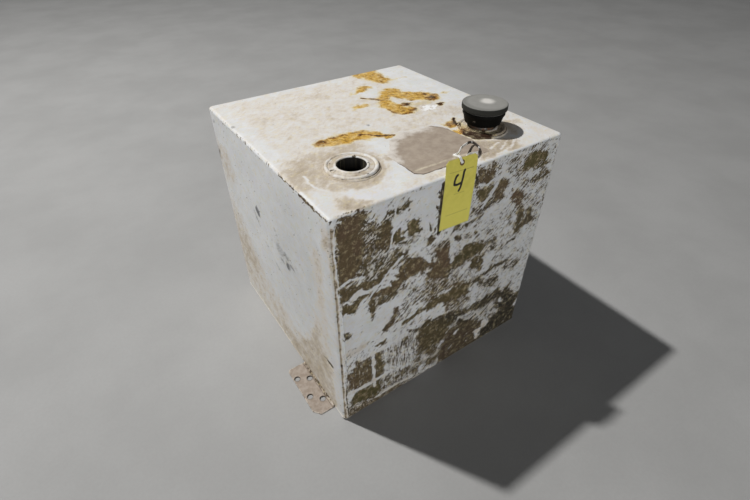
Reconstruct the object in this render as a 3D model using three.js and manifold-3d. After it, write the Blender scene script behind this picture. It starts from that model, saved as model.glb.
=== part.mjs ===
// Small box-shaped steel liquid tank with a pump opening, a filler neck with a screw cap,
// two bolt-down foot plates, a worn label and a numbered card tag on its front edge.
// Units are millimetres, +Z is up, the front wall faces -Y, and the origin is the centre
// of the underside.
import * as THREE from 'three';
import { mergeVertices } from 'three/addons/utils/BufferGeometryUtils.js';
import Module from 'manifold-3d';

// Driving dimensions of the shell
const WIDTH = 610;
const DEPTH = 617;
const HEIGHT = 611;
const SHEET = 2;
const CORNER_RADIUS = 11;
const EDGE_RADIUS = 7;
const EDGE_SEAM = 8;
const SIDE_RETURN = 14;

// Weld beads
const SEAT_GAP = 0.3;
const BEAD_WIDTH = 4;
const BEAD_HEIGHT = 0.9;
const FLANGE_BEAD_LEG = 4.4;
const FOOT_BEAD_LEG = 5;

// Pump opening and filler, seen from above
const PUMP_AXIS = new THREE.Vector2(-174, -172);
const FILL_AXIS = new THREE.Vector2(171, -183.5);
const PUMP_BORE = 30.5;
const FILL_BORE = 30.5;
const FLANGE_RADIUS = 55;
const SKIRT_RADIUS = 38;
const SKIRT_LENGTH = 20;
const LAND_HEIGHT = 5.4;
const PLATE_HOLE_RADIUS = SKIRT_RADIUS + 0.5;
const NECK_RADIUS = FILL_BORE - SEAT_GAP;
const NECK_WALL = 4;
const NECK_BOTTOM = -15;
const NECK_TOP = 38;

// Screw cap, with heights above the tank's top
const CAP_BORE = NECK_RADIUS + 2;
const CAP_RIM = 17;
const CAP_SKIRT_RADIUS = 41;
const CAP_COLLAR_RADIUS = 47.5;
const CAP_COLLAR_BOTTOM = 38;
const CAP_COLLAR_TOP = 46;
const CAP_GROOVE_RADIUS = 44;
const CAP_DISC_RADIUS = 51;
const CAP_DISC_BOTTOM = 47.5;
const CAP_DISC_EDGE = 60.6;
const CAP_DOME = 62.5;
const GASKET_THICKNESS = 2.5;
const GASKET_INNER_RADIUS = 24.5;

// Foot plates
const FOOT_REACH = 54;
const FOOT_FRONT = -259.5;
const FOOT_REAR = -92.5;
const FOOT_THICKNESS = 4;
const FOOT_CHAMFER_ALONG = 18;
const FOOT_CHAMFER_ACROSS = 14;
const FOOT_TUCK = 0.3;
const BOLT_HOLE_RADIUS = 7.5;
const BOLT_HOLES = [
  { out: 42.5, y: -131.7 },
  { out: 39.5, y: -199.4 },
  { out: 13.5, y: -147.7 },
  { out: 15, y: -223.2 },
];

// Label on the top, a printed sheet with torn corners
const LABEL_THICKNESS = 0.4;
const LABEL_CORNERS = [
  [-90, -265],
  [-79, -277],
  [103, -277],
  [111, -216],
  [100, -150],
  [79, -108],
  [-4, -102],
  [-43, -115],
  [-90, -182],
];

// Card tag that stands up over the front edge and hangs down before the front wall
const TAG_WIDTH = 79.4;
const TAG_LENGTH = 158.8;
const TAG_THICKNESS = 0.6;
const TAG_TWIST = THREE.MathUtils.degToRad(1.1);
const TAG_TURN = THREE.MathUtils.degToRad(2.5);
const TAG_LEAN = THREE.MathUtils.degToRad(5.5);
const TAG_ABOVE_FOLD = 38;
const TAG_CORNER_CUT = 7;
const TAG_FOLD = { x: -8.6, y: -DEPTH / 2 - 2.5, z: HEIGHT - 7 };
const EYELET_FROM_END = 11;
const EYELET_HOLE = 3.2;
const EYELET_RADIUS = 6;
const EYELET_PROUD = 0.5;

// Plastic tie through the eyelet
const TIE_RADIUS = 1.6;
const TIE_HEAD = { x: -9.7, y: -288.8, z: 638 };
const TIE_HEAD_SIZE = { along: 9, across: 6, up: 5 };

// Smoothness of round shapes
const ROUND_SEGMENTS = 40;
const CORNER_SEGMENTS = 5;
const BEVEL_SEGMENTS = 3;

const wasm = await Module();
wasm.setup();

// Turns a closed geometry into a solid that can be joined and cut
function solidOf(geometry) {
  const bare = geometry.clone();
  bare.deleteAttribute('normal');
  bare.deleteAttribute('uv');
  const merged = mergeVertices(bare, 1e-4);
  const mesh = new wasm.Mesh({
    numProp: 3,
    vertProperties: new Float32Array(merged.attributes.position.array),
    triVerts: new Uint32Array(merged.index.array),
  });
  return new wasm.Manifold(mesh);
}

// Turns a solid back into a geometry
function geometryOf(solid) {
  const mesh = solid.getMesh();
  const geometry = new THREE.BufferGeometry();
  geometry.setAttribute('position', new THREE.BufferAttribute(mesh.vertProperties, 3));
  geometry.setIndex(new THREE.BufferAttribute(mesh.triVerts, 1));
  geometry.computeVertexNormals();
  return geometry;
}

// A solid block between two opposite corners
function block(low, high) {
  const size = new THREE.Vector3().subVectors(high, low);
  const centre = new THREE.Vector3().addVectors(high, low).multiplyScalar(0.5);
  const geometry = new THREE.BoxGeometry(size.x, size.y, size.z);
  return solidOf(geometry.translate(centre.x, centre.y, centre.z));
}

// A solid upright cylinder
function uprightCylinder(x, y, low, high, radius, segments = ROUND_SEGMENTS) {
  const geometry = new THREE.CylinderGeometry(radius, radius, high - low, segments);
  geometry.rotateX(Math.PI / 2);
  return solidOf(geometry.translate(x, y, (low + high) / 2));
}

// A ring or disc turned about the Z axis from a closed [radius, height] profile that runs
// outward along its underside, up its outside and back inward along its top
function turned(profile, segments = ROUND_SEGMENTS) {
  const points = profile.map(([radius, height]) => new THREE.Vector2(radius, height));
  const geometry = new THREE.LatheGeometry(points, segments);
  return geometry.rotateX(Math.PI / 2);
}

// A rectangle about the origin with round corners
function roundedRectangle(width, depth, radius) {
  const x = width / 2;
  const y = depth / 2;
  const shape = new THREE.Shape();
  shape.moveTo(-x + radius, -y);
  shape.lineTo(x - radius, -y);
  shape.absarc(x - radius, -y + radius, radius, -Math.PI / 2, 0);
  shape.lineTo(x, y - radius);
  shape.absarc(x - radius, y - radius, radius, 0, Math.PI / 2);
  shape.lineTo(-x + radius, y);
  shape.absarc(-x + radius, y - radius, radius, Math.PI / 2, Math.PI);
  shape.lineTo(-x, -y + radius);
  shape.absarc(-x + radius, -y + radius, radius, Math.PI, Math.PI * 1.5);
  return shape;
}

// The tank as a solid block with round edges, drawn in by an inset on every side
function roundedBlock(inset) {
  const round = EDGE_RADIUS - inset;
  const outline = roundedRectangle(
    WIDTH - 2 * EDGE_RADIUS,
    DEPTH - 2 * EDGE_RADIUS,
    CORNER_RADIUS - EDGE_RADIUS,
  );
  const geometry = new THREE.ExtrudeGeometry(outline, {
    depth: HEIGHT - 2 * EDGE_RADIUS,
    bevelThickness: round,
    bevelSize: round,
    bevelSegments: BEVEL_SEGMENTS,
    curveSegments: CORNER_SEGMENTS,
  });
  return solidOf(geometry.translate(0, 0, EDGE_RADIUS));
}

const shell = roundedBlock(0).subtract(roundedBlock(SHEET));
const SEAM_X = WIDTH / 2 - SIDE_RETURN;
const LOW_SEAM = EDGE_SEAM;
const HIGH_SEAM = HEIGHT - EDGE_SEAM;
const BEYOND = 1000;

// The part of the shell inside a box given by two corners
function shellPart(lowX, lowY, lowZ, highX, highY, highZ) {
  const low = new THREE.Vector3(lowX, lowY, lowZ);
  const high = new THREE.Vector3(highX, highY, highZ);
  return shell.intersect(block(low, high));
}

function topPlate() {
  const pan = shellPart(-BEYOND, -BEYOND, HIGH_SEAM, BEYOND, BEYOND, BEYOND);
  const holes = [PUMP_AXIS, FILL_AXIS].map((axis) =>
    uprightCylinder(axis.x, axis.y, HIGH_SEAM, BEYOND, PLATE_HOLE_RADIUS),
  );
  return geometryOf(pan.subtract(holes[0]).subtract(holes[1]));
}

// A low rounded bead profile on the line y = 0, bulging towards -Y
function beadProfile(width, height) {
  const shape = new THREE.Shape();
  shape.absellipse(0, 0, width / 2, height, Math.PI, 2 * Math.PI);
  shape.closePath();
  return shape;
}

// Upright bead that closes a side return on the front or rear wall
function seamBead(facing) {
  const geometry = new THREE.ExtrudeGeometry(beadProfile(BEAD_WIDTH, BEAD_HEIGHT), {
    depth: HIGH_SEAM - LOW_SEAM - 2 * BEAD_WIDTH,
    bevelEnabled: false,
    curveSegments: BEVEL_SEGMENTS,
  });
  geometry.translate(0, 0, LOW_SEAM + BEAD_WIDTH);
  if (facing > 0) geometry.rotateZ(Math.PI);
  return geometry;
}

// Bead round the bottom seam, kept between two depths so that it stops at the foot plates
function bottomBead(lowY, highY) {
  const gap = SEAT_GAP + 0.05;
  const flat = 1;
  const outline = roundedRectangle(
    WIDTH + 2 * SEAT_GAP,
    DEPTH + 2 * SEAT_GAP,
    CORNER_RADIUS + SEAT_GAP,
  );
  const rim = new THREE.ExtrudeGeometry(outline, {
    depth: flat,
    bevelThickness: (BEAD_WIDTH - flat) / 2,
    bevelSize: BEAD_HEIGHT,
    bevelSegments: 2,
    curveSegments: CORNER_SEGMENTS,
  });
  rim.translate(0, 0, LOW_SEAM - flat / 2);
  const core = new THREE.ExtrudeGeometry(
    roundedRectangle(WIDTH + 2 * gap, DEPTH + 2 * gap, CORNER_RADIUS + gap),
    { depth: 4 * BEAD_WIDTH, bevelEnabled: false, curveSegments: CORNER_SEGMENTS },
  );
  core.translate(0, 0, LOW_SEAM - 2 * BEAD_WIDTH);
  const ring = solidOf(rim).subtract(solidOf(core));
  const low = new THREE.Vector3(-BEYOND, lowY, 0);
  const high = new THREE.Vector3(BEYOND, highY, BEYOND);
  return geometryOf(ring.intersect(block(low, high)));
}

// Threaded tank flange: a skirt through the plate, a flat land, and a raised lip round it
function flange(bore) {
  return turned([
    [bore, -SKIRT_LENGTH],
    [SKIRT_RADIUS, -SKIRT_LENGTH],
    [SKIRT_RADIUS, 0],
    [FLANGE_RADIUS, 0],
    [FLANGE_RADIUS, 4.2],
    [FLANGE_RADIUS - 1.4, 6.5],
    [FLANGE_RADIUS - 4, 7.2],
    [FLANGE_RADIUS - 6.4, 6.4],
    [FLANGE_RADIUS - 7.6, 4.6],
    [FLANGE_RADIUS - 8.8, 4.6],
    [FLANGE_RADIUS - 9.8, LAND_HEIGHT],
    [bore + 6, LAND_HEIGHT],
    [bore + 5, 7.3],
    [bore + 2.6, 8.2],
    [bore + 0.8, 7.7],
    [bore, 6.4],
    [bore, -SKIRT_LENGTH],
  ]);
}

// Fillet bead where a flange meets the plate
function flangeBead() {
  const inner = FLANGE_RADIUS + SEAT_GAP;
  return turned([
    [inner, 0],
    [inner + FLANGE_BEAD_LEG, 0],
    [inner + FLANGE_BEAD_LEG * 0.82, 1.5],
    [inner + FLANGE_BEAD_LEG * 0.42, 2.9],
    [inner, 3.5],
    [inner, 0],
  ]);
}

function fillNeck() {
  const inner = NECK_RADIUS - NECK_WALL;
  return turned([
    [inner, NECK_BOTTOM],
    [NECK_RADIUS, NECK_BOTTOM],
    [NECK_RADIUS, NECK_TOP - 1.2],
    [NECK_RADIUS - 1.2, NECK_TOP],
    [inner + 0.8, NECK_TOP],
    [inner, NECK_TOP - 0.8],
    [inner, NECK_BOTTOM],
  ]);
}

const GASKET_BOTTOM = NECK_TOP + SEAT_GAP;
const CAP_ROOF = GASKET_BOTTOM + GASKET_THICKNESS + SEAT_GAP;

function capGasket() {
  const outer = CAP_BORE - SEAT_GAP;
  const top = GASKET_BOTTOM + GASKET_THICKNESS;
  return turned([
    [GASKET_INNER_RADIUS, GASKET_BOTTOM],
    [outer, GASKET_BOTTOM],
    [outer, top],
    [GASKET_INNER_RADIUS, top],
    [GASKET_INNER_RADIUS, GASKET_BOTTOM],
  ]);
}

// Tapered cap body with its collar, hollow over the neck
function capBody() {
  return turned([
    [0, CAP_ROOF],
    [CAP_BORE, CAP_ROOF],
    [CAP_BORE, CAP_RIM],
    [CAP_SKIRT_RADIUS - 1, CAP_RIM],
    [CAP_SKIRT_RADIUS, CAP_RIM + 1.2],
    [CAP_COLLAR_RADIUS - 1.6, CAP_COLLAR_BOTTOM - 1.6],
    [CAP_COLLAR_RADIUS, CAP_COLLAR_BOTTOM],
    [CAP_COLLAR_RADIUS, CAP_COLLAR_TOP - 1],
    [CAP_COLLAR_RADIUS - 1, CAP_COLLAR_TOP],
    [CAP_GROOVE_RADIUS, CAP_COLLAR_TOP],
    [CAP_GROOVE_RADIUS, CAP_DISC_BOTTOM],
    [0, CAP_DISC_BOTTOM],
  ]);
}

// Domed disc on top of the cap
function capDisc() {
  return turned([
    [0, CAP_DISC_BOTTOM],
    [CAP_DISC_RADIUS - 1.4, CAP_DISC_BOTTOM],
    [CAP_DISC_RADIUS - 0.2, CAP_DISC_BOTTOM + 1.2],
    [CAP_DISC_RADIUS, CAP_DISC_BOTTOM + 4],
    [CAP_DISC_RADIUS - 0.5, CAP_DISC_EDGE - 1],
    [CAP_DISC_RADIUS - 1.8, CAP_DISC_EDGE],
    [CAP_DISC_RADIUS * 0.72, CAP_DISC_EDGE + 0.95],
    [CAP_DISC_RADIUS * 0.38, CAP_DISC_EDGE + 1.65],
    [0, CAP_DOME],
  ]);
}

// Foot plate on the left (side = -1) or right (side = 1), with its cut outer front corner
function foot(side) {
  const wall = WIDTH / 2 + FOOT_TUCK;
  const outer = WIDTH / 2 + FOOT_REACH;
  const shape = new THREE.Shape([
    new THREE.Vector2(wall, FOOT_FRONT),
    new THREE.Vector2(outer - FOOT_CHAMFER_ACROSS, FOOT_FRONT),
    new THREE.Vector2(outer, FOOT_FRONT + FOOT_CHAMFER_ALONG),
    new THREE.Vector2(outer - 2, FOOT_REAR - 6),
    new THREE.Vector2(outer - 8, FOOT_REAR),
    new THREE.Vector2(wall, FOOT_REAR),
  ]);
  const plate = new THREE.ExtrudeGeometry(shape, { depth: FOOT_THICKNESS, bevelEnabled: false });
  let solid = solidOf(plate);
  for (const hole of BOLT_HOLES) {
    const x = WIDTH / 2 + hole.out;
    solid = solid.subtract(uprightCylinder(x, hole.y, -5, 10, BOLT_HOLE_RADIUS, 20));
  }
  return side > 0 ? geometryOf(solid) : mirrored(geometryOf(solid));
}

// Mirrors a geometry across the middle plane x = 0 and keeps its faces pointing out
function mirrored(geometry) {
  const copy = geometry.clone().scale(-1, 1, 1);
  const index = copy.index.array;
  for (let i = 0; i < index.length; i += 3) {
    [index[i], index[i + 1]] = [index[i + 1], index[i]];
  }
  copy.computeVertexNormals();
  return copy;
}

// Fillet bead along the inner edge of a foot plate, on the plate and against the wall
function footBead(side) {
  const inner = WIDTH / 2;
  const shape = new THREE.Shape([
    new THREE.Vector2(inner, FOOT_THICKNESS),
    new THREE.Vector2(inner + FOOT_BEAD_LEG, FOOT_THICKNESS),
    new THREE.Vector2(inner + FOOT_BEAD_LEG * 0.72, FOOT_THICKNESS + FOOT_BEAD_LEG * 0.5),
    new THREE.Vector2(inner + FOOT_BEAD_LEG * 0.36, FOOT_THICKNESS + FOOT_BEAD_LEG * 0.86),
    new THREE.Vector2(inner, FOOT_THICKNESS + FOOT_BEAD_LEG * 1.2),
  ]);
  const length = FOOT_REAR - FOOT_FRONT - 4;
  const bar = new THREE.ExtrudeGeometry(shape, { depth: length, bevelEnabled: false });
  bar.rotateX(Math.PI / 2);
  bar.translate(0, FOOT_REAR - 2, 0);
  const geometry = geometryOf(solidOf(bar));
  return side > 0 ? geometry : mirrored(geometry);
}

function label() {
  const shape = new THREE.Shape(LABEL_CORNERS.map(([x, y]) => new THREE.Vector2(x, y)));
  return new THREE.ExtrudeGeometry(shape, { depth: LABEL_THICKNESS, bevelEnabled: false });
}

// Point on the tag's mid-surface, in its own frame at the fold: across the card, and along
// it from the fold (down is positive). It hangs below the fold and leans back above it.
function cardPoint(across, along) {
  const x = across * Math.cos(TAG_TWIST) - along * Math.sin(TAG_TWIST);
  const s = across * Math.sin(TAG_TWIST) + along * Math.cos(TAG_TWIST);
  if (s > 0) {
    return new THREE.Vector3(x, 0, -s);
  }
  return new THREE.Vector3(x, -s * Math.sin(TAG_LEAN), -s * Math.cos(TAG_LEAN));
}

// Hangs a geometry made in the card's own frame on the tank, right edge forward
function hung(geometry) {
  return geometry.rotateZ(-TAG_TURN).translate(TAG_FOLD.x, TAG_FOLD.y, TAG_FOLD.z);
}

// The bent sheet that the tag is cut from, as a profile in the (y, z) plane
function bentSheet() {
  const past = 20;
  const half = TAG_THICKNESS / 2;
  const top = TAG_ABOVE_FOLD + past;
  const bottom = TAG_LENGTH + past;
  const mitre = half * Math.tan(TAG_LEAN / 2);
  const up = new THREE.Vector2(Math.sin(TAG_LEAN), Math.cos(TAG_LEAN));
  const upFront = new THREE.Vector2(-up.y, up.x).multiplyScalar(half);
  const at = (side, length) => {
    const point = up.clone().multiplyScalar(length);
    return point.addScaledVector(upFront, side);
  };
  const outline = [
    new THREE.Vector2(-half, -bottom),
    new THREE.Vector2(half, -bottom),
    new THREE.Vector2(half, -mitre),
    at(-1, top),
    at(1, top),
    new THREE.Vector2(-half, mitre),
  ];
  const geometry = new THREE.ExtrudeGeometry(new THREE.Shape(outline), {
    depth: 2 * TAG_WIDTH,
    bevelEnabled: false,
  });
  geometry.applyMatrix4(
    new THREE.Matrix4().makeBasis(
      new THREE.Vector3(0, 1, 0),
      new THREE.Vector3(0, 0, 1),
      new THREE.Vector3(1, 0, 0),
    ),
  );
  return solidOf(geometry.translate(-TAG_WIDTH, 0, 0));
}

// Stands a geometry that was turned about Z on the leaning card at the eyelet
const EYELET_ALONG = EYELET_FROM_END - TAG_ABOVE_FOLD;
function atEyelet(geometry) {
  const at = cardPoint(0, EYELET_ALONG);
  return geometry.rotateX(Math.PI / 2 - TAG_LEAN).translate(at.x, at.y, at.z);
}

function tag() {
  const half = TAG_WIDTH / 2;
  const top = -TAG_ABOVE_FOLD;
  const bottom = TAG_LENGTH - TAG_ABOVE_FOLD;
  const corners = [
    [-half, bottom],
    [half, bottom],
    [half, top + TAG_CORNER_CUT],
    [half - TAG_CORNER_CUT, top],
    [-half + TAG_CORNER_CUT, top],
    [-half, top + TAG_CORNER_CUT],
  ];
  const outline = corners.map(([across, along]) => {
    const point = cardPoint(across, along);
    return new THREE.Vector2(point.x, point.z);
  });
  const cutter = new THREE.ExtrudeGeometry(new THREE.Shape(outline), {
    depth: BEYOND,
    bevelEnabled: false,
  });
  cutter.rotateX(Math.PI / 2).translate(0, BEYOND / 2, 0);
  const hole = new THREE.CylinderGeometry(EYELET_HOLE + 1.2, EYELET_HOLE + 1.2, 8, 24);
  hole.rotateX(Math.PI / 2);
  const card = bentSheet().intersect(solidOf(cutter)).subtract(solidOf(atEyelet(hole)));
  return hung(geometryOf(card));
}

// Fibre eyelet: a rim on both faces of the card joined through the hole
function tagEyelet() {
  const near = TAG_THICKNESS / 2 + SEAT_GAP / 2;
  const far = near + EYELET_PROUD;
  const barrel = EYELET_HOLE + 0.8;
  const ring = turned(
    [
      [EYELET_HOLE, -far],
      [EYELET_RADIUS, -far],
      [EYELET_RADIUS, -near],
      [barrel, -near],
      [barrel, near],
      [EYELET_RADIUS, near],
      [EYELET_RADIUS, far],
      [EYELET_HOLE, far],
      [EYELET_HOLE, -far],
    ],
    24,
  );
  return hung(atEyelet(ring));
}

// A point off the card: across and along it, and a distance in front of it
function offCard(across, along, distance) {
  const point = cardPoint(across, along);
  point.y -= distance * Math.cos(TAG_LEAN);
  point.z += distance * Math.sin(TAG_LEAN);
  point.applyAxisAngle(new THREE.Vector3(0, 0, 1), -TAG_TURN);
  return [point.x + TAG_FOLD.x, point.y + TAG_FOLD.y, point.z + TAG_FOLD.z];
}

// Route of the tie: out of its head, over the card's end, back through the eyelet, and
// round in a loop that rests on the tank's top
const TIE_ROUTE = [
  [TIE_HEAD.x, TIE_HEAD.y - 5.3, TIE_HEAD.z + 0.3],
  [TIE_HEAD.x - 1.6, TIE_HEAD.y - 11, TIE_HEAD.z + 3],
  offCard(-8, -TAG_ABOVE_FOLD - 4, -1.5),
  offCard(-7.5, -TAG_ABOVE_FOLD - 1.5, 4),
  offCard(-3, EYELET_ALONG - 5, 5.6),
  offCard(0, EYELET_ALONG, 4.5),
  offCard(0, EYELET_ALONG, 0),
  offCard(0, EYELET_ALONG, -5),
  [12, -294.5, 628.5],
  [39, -282.5, 624.5],
  [65, -277.5, 617.5],
  [80, -269, 614.4],
  [93, -252, 613.6],
  [94, -237, 615.6],
  [83, -236.5, 620],
  [67, -243.5, 624.2],
  [32, -262.5, 632],
  [4, -284, 636.8],
  [TIE_HEAD.x + 4.1, TIE_HEAD.y + 2.5, TIE_HEAD.z],
];

function tie() {
  const points = TIE_ROUTE.map(([x, y, z]) => new THREE.Vector3(x, y, z));
  const section = new THREE.Shape();
  section.absarc(0, 0, TIE_RADIUS, 0, 2 * Math.PI);
  return new THREE.ExtrudeGeometry(section, {
    steps: 56,
    curveSegments: 8,
    extrudePath: new THREE.CatmullRomCurve3(points, false, 'centripetal'),
  });
}

function tieHead() {
  return new THREE.BoxGeometry(TIE_HEAD_SIZE.across, TIE_HEAD_SIZE.along, TIE_HEAD_SIZE.up);
}

// Colours and finishes
const finishes = {
  paint: { color: 0xd8d8d4, roughness: 0.55, metalness: 0 },
  frontPaint: { color: 0xa9aba8, roughness: 0.6, metalness: 0 },
  weld: { color: 0xbdb8ae, roughness: 0.7, metalness: 0.1 },
  flange: { color: 0xc9c2b6, roughness: 0.65, metalness: 0.2 },
  neck: { color: 0x5b5048, roughness: 0.6, metalness: 0.6 },
  foot: { color: 0xb3a898, roughness: 0.75, metalness: 0 },
  capTop: { color: 0x5c5e5b, roughness: 0.55, metalness: 0 },
  capBody: { color: 0x161616, roughness: 0.5, metalness: 0 },
  gasket: { color: 0x101010, roughness: 0.9, metalness: 0 },
  label: { color: 0x9d8f82, roughness: 0.8, metalness: 0 },
  card: { color: 0xd2c935, roughness: 0.7, metalness: 0 },
  fibre: { color: 0x6b4a2c, roughness: 0.8, metalness: 0 },
  tie: { color: 0xd8d6d0, roughness: 0.5, metalness: 0 },
};

const tank = new THREE.Group();

function add(name, geometry, finish, x = 0, y = 0, z = 0) {
  const mesh = new THREE.Mesh(geometry, new THREE.MeshStandardMaterial(finishes[finish]));
  mesh.name = name;
  mesh.position.set(x, y, z);
  tank.add(mesh);
}

// Shell: four walls between the bottom pan and the top pan
const walls = {
  left_wall: [-BEYOND, -BEYOND, -SEAM_X, BEYOND],
  right_wall: [SEAM_X, -BEYOND, BEYOND, BEYOND],
  front_wall: [-SEAM_X, -BEYOND, SEAM_X, 0],
  rear_wall: [-SEAM_X, 0, SEAM_X, BEYOND],
};
for (const [name, [lowX, lowY, highX, highY]] of Object.entries(walls)) {
  const wall = shellPart(lowX, lowY, LOW_SEAM, highX, highY, HIGH_SEAM);
  add(name, geometryOf(wall), name === 'front_wall' ? 'frontPaint' : 'paint');
}
add('top_plate', topPlate(), 'paint');
const bottomPan = shellPart(-BEYOND, -BEYOND, -BEYOND, BEYOND, BEYOND, LOW_SEAM);
add('bottom_plate', geometryOf(bottomPan), 'paint');

// Upright seam beads on the front and rear walls
for (const [face, facing] of [['front', -1], ['rear', 1]]) {
  for (const [hand, side] of [['left', -1], ['right', 1]]) {
    const name = `${face}_${hand}_seam_weld`;
    add(name, seamBead(facing), 'weld', side * SEAM_X, facing * DEPTH / 2, 0);
  }
}
add('front_bottom_seam_weld', bottomBead(-BEYOND, FOOT_FRONT - 3), 'weld');
add('rear_bottom_seam_weld', bottomBead(FOOT_REAR + 3, BEYOND), 'weld');

// Foot plates with their fillet beads
for (const [hand, side] of [['left', -1], ['right', 1]]) {
  add(`${hand}_foot`, foot(side), 'foot');
  add(`${hand}_foot_weld`, footBead(side), 'weld');
}

// Pump opening, filler and cap
add('pump_flange', flange(PUMP_BORE), 'flange', PUMP_AXIS.x, PUMP_AXIS.y, HEIGHT);
add('pump_flange_weld', flangeBead(), 'weld', PUMP_AXIS.x, PUMP_AXIS.y, HEIGHT);
const fillPieces = [
  ['fill_flange', flange(FILL_BORE), 'flange'],
  ['fill_flange_weld', flangeBead(), 'weld'],
  ['fill_neck', fillNeck(), 'neck'],
  ['cap_gasket', capGasket(), 'gasket'],
  ['cap_body', capBody(), 'capBody'],
  ['cap_disc', capDisc(), 'capTop'],
];
for (const [name, geometry, finish] of fillPieces) {
  add(name, geometry, finish, FILL_AXIS.x, FILL_AXIS.y, HEIGHT);
}

// Label, tag and tie
add('label', label(), 'label', 0, 0, HEIGHT);
add('tag', tag(), 'card');
add('tag_eyelet', tagEyelet(), 'fibre');
add('tag_tie', tie(), 'tie');
add('tag_tie_head', tieHead(), 'tie', TIE_HEAD.x, TIE_HEAD.y, TIE_HEAD.z);

export default tank;
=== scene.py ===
"""Looks of a small box-shaped steel liquid tank: worn and dirty white paint over brown steel,
amber rust stains on its top, a worn label, a screw cap, and a numbered yellow card tag.

Every object is in metres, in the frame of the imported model. Marks on a face are given in
millimetres on that face, seen from outside: across it, then up it (on the top: x, then y).
"""
import math

import bmesh
import bpy
import numpy as np
from mathutils import Matrix, Vector
from mathutils.geometry import delaunay_2d_cdt
from mathutils.kdtree import KDTree


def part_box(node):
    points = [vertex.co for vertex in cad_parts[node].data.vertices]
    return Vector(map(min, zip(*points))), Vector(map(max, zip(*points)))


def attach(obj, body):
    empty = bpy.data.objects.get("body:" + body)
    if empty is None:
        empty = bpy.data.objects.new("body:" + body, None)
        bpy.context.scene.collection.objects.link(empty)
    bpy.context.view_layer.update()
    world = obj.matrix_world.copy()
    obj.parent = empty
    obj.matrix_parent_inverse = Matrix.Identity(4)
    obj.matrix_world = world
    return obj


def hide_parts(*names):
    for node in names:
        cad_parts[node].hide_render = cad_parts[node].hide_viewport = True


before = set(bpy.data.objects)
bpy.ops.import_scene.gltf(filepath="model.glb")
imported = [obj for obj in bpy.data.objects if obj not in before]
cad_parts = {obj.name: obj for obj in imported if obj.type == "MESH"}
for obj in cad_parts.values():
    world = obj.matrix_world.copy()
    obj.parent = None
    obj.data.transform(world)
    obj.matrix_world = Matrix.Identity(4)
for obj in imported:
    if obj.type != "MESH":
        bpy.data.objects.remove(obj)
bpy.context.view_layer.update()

MM = 0.001

# Sizes read from the frame
WALL_LOW, WALL_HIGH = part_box("front_wall")
HALF_WIDTH, HALF_DEPTH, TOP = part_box("top_plate")[1]
SEAM_X = WALL_HIGH.x
LOW_SEAM = WALL_LOW.z
HIGH_SEAM = WALL_HIGH.z
SHEET = WALL_HIGH.y - WALL_LOW.y

# Sizes of the bent sheets and their beads
CORNER_RADIUS = 11 * MM
EDGE_RADIUS = 7 * MM
WAVE_HEIGHT = 0.45 * MM
BEAD_WIDTH = 4 * MM
BEAD_HEIGHT = 0.9 * MM
BOTTOM_BEAD_HEIGHT = 1.1 * MM
RIPPLE_PITCH = 2.6 * MM
BEAD_STEP = 0.9 * MM

# Sizes of the flanges and of all threads, in millimetres
BORE = 30.5
SKIRT_RADIUS = 38
SKIRT_LENGTH = 20
FLANGE_RADIUS = 55
LAND_HEIGHT = 5.4
THREAD_PITCH = 2.2
THREAD_STEP = THREAD_PITCH / 5
THREAD_DEPTH = 0.9


def axis_of(node):
    """Middle of a round node in plan, at the height of the tank's top."""
    low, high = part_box(node)
    return Vector(((low.x + high.x) / 2, (low.y + high.y) / 2, TOP))


PUMP_AXIS = axis_of("pump_flange")
FILL_AXIS = axis_of("fill_flange")


# Noise and easing

def smooth(value, low, high):
    """0 below low, 1 above high, and an even ease between them. low may be above high."""
    t = np.clip((value - low) / (high - low), 0, 1)
    return t * t * (3 - 2 * t)


def lattice_noise(p, q, cell, seed):
    """Smooth noise from -1 to 1 whose features are about one cell wide."""
    size = 128
    grid = np.random.default_rng(seed).uniform(-1, 1, (size, size))
    x, y = p / cell, q / cell
    i, j = np.floor(x).astype(int), np.floor(y).astype(int)
    fx, fy = x - i, y - j
    fx, fy = fx * fx * (3 - 2 * fx), fy * fy * (3 - 2 * fy)
    i0, j0, i1, j1 = i % size, j % size, (i + 1) % size, (j + 1) % size
    low = grid[i0, j0] * (1 - fx) + grid[i1, j0] * fx
    high = grid[i0, j1] * (1 - fx) + grid[i1, j1] * fx
    return low * (1 - fy) + high * fy


# Marks laid over a face

def distance_to_line(p, q, points):
    """Distance from each point (p, q) to a line through the points."""
    nearest = np.full(p.shape, 1e9)
    for (ax, ay), (bx, by) in zip(points, points[1:]):
        dx, dy = bx - ax, by - ay
        t = np.clip(((p - ax) * dx + (q - ay) * dy) / (dx * dx + dy * dy), 0, 1)
        nearest = np.minimum(nearest, np.hypot(p - ax - t * dx, q - ay - t * dy))
    return nearest


def inside_loop(points, loop):
    """Which of the points lie inside a closed loop."""
    found = np.zeros(len(points), bool)
    ax, ay = loop[:, 0], loop[:, 1]
    bx, by = np.roll(ax, -1), np.roll(ay, -1)
    rise = np.where(by == ay, 1, by - ay)
    chunk = 4000
    for start in range(0, len(points), chunk):
        x, y = points[start:start + chunk, 0, None], points[start:start + chunk, 1, None]
        crosses = (ay > y) != (by > y)
        past = x < ax + (y - ay) * (bx - ax) / rise
        found[start:start + chunk] = (crosses & past).sum(1) % 2 == 1
    return found


def inside_area(points, loops):
    """Which of the points lie inside the first loop and outside the others."""
    found = inside_loop(points, loops[0])
    for hole in loops[1:]:
        found &= ~inside_loop(points, hole)
    return found


def spot(x, y, half_width, half_height, turn=0, soft=0.5, **levels):
    """A round patch with soft edges, turned counter-clockwise by degrees."""
    c, s = math.cos(math.radians(turn)), math.sin(math.radians(turn))

    def mask(p, q):
        across = ((p - x) * c + (q - y) * s) / half_width
        up = ((q - y) * c - (p - x) * s) / half_height
        return smooth(np.hypot(across, up), 1 + soft, 1 - soft)

    return mask, levels, True


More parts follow.
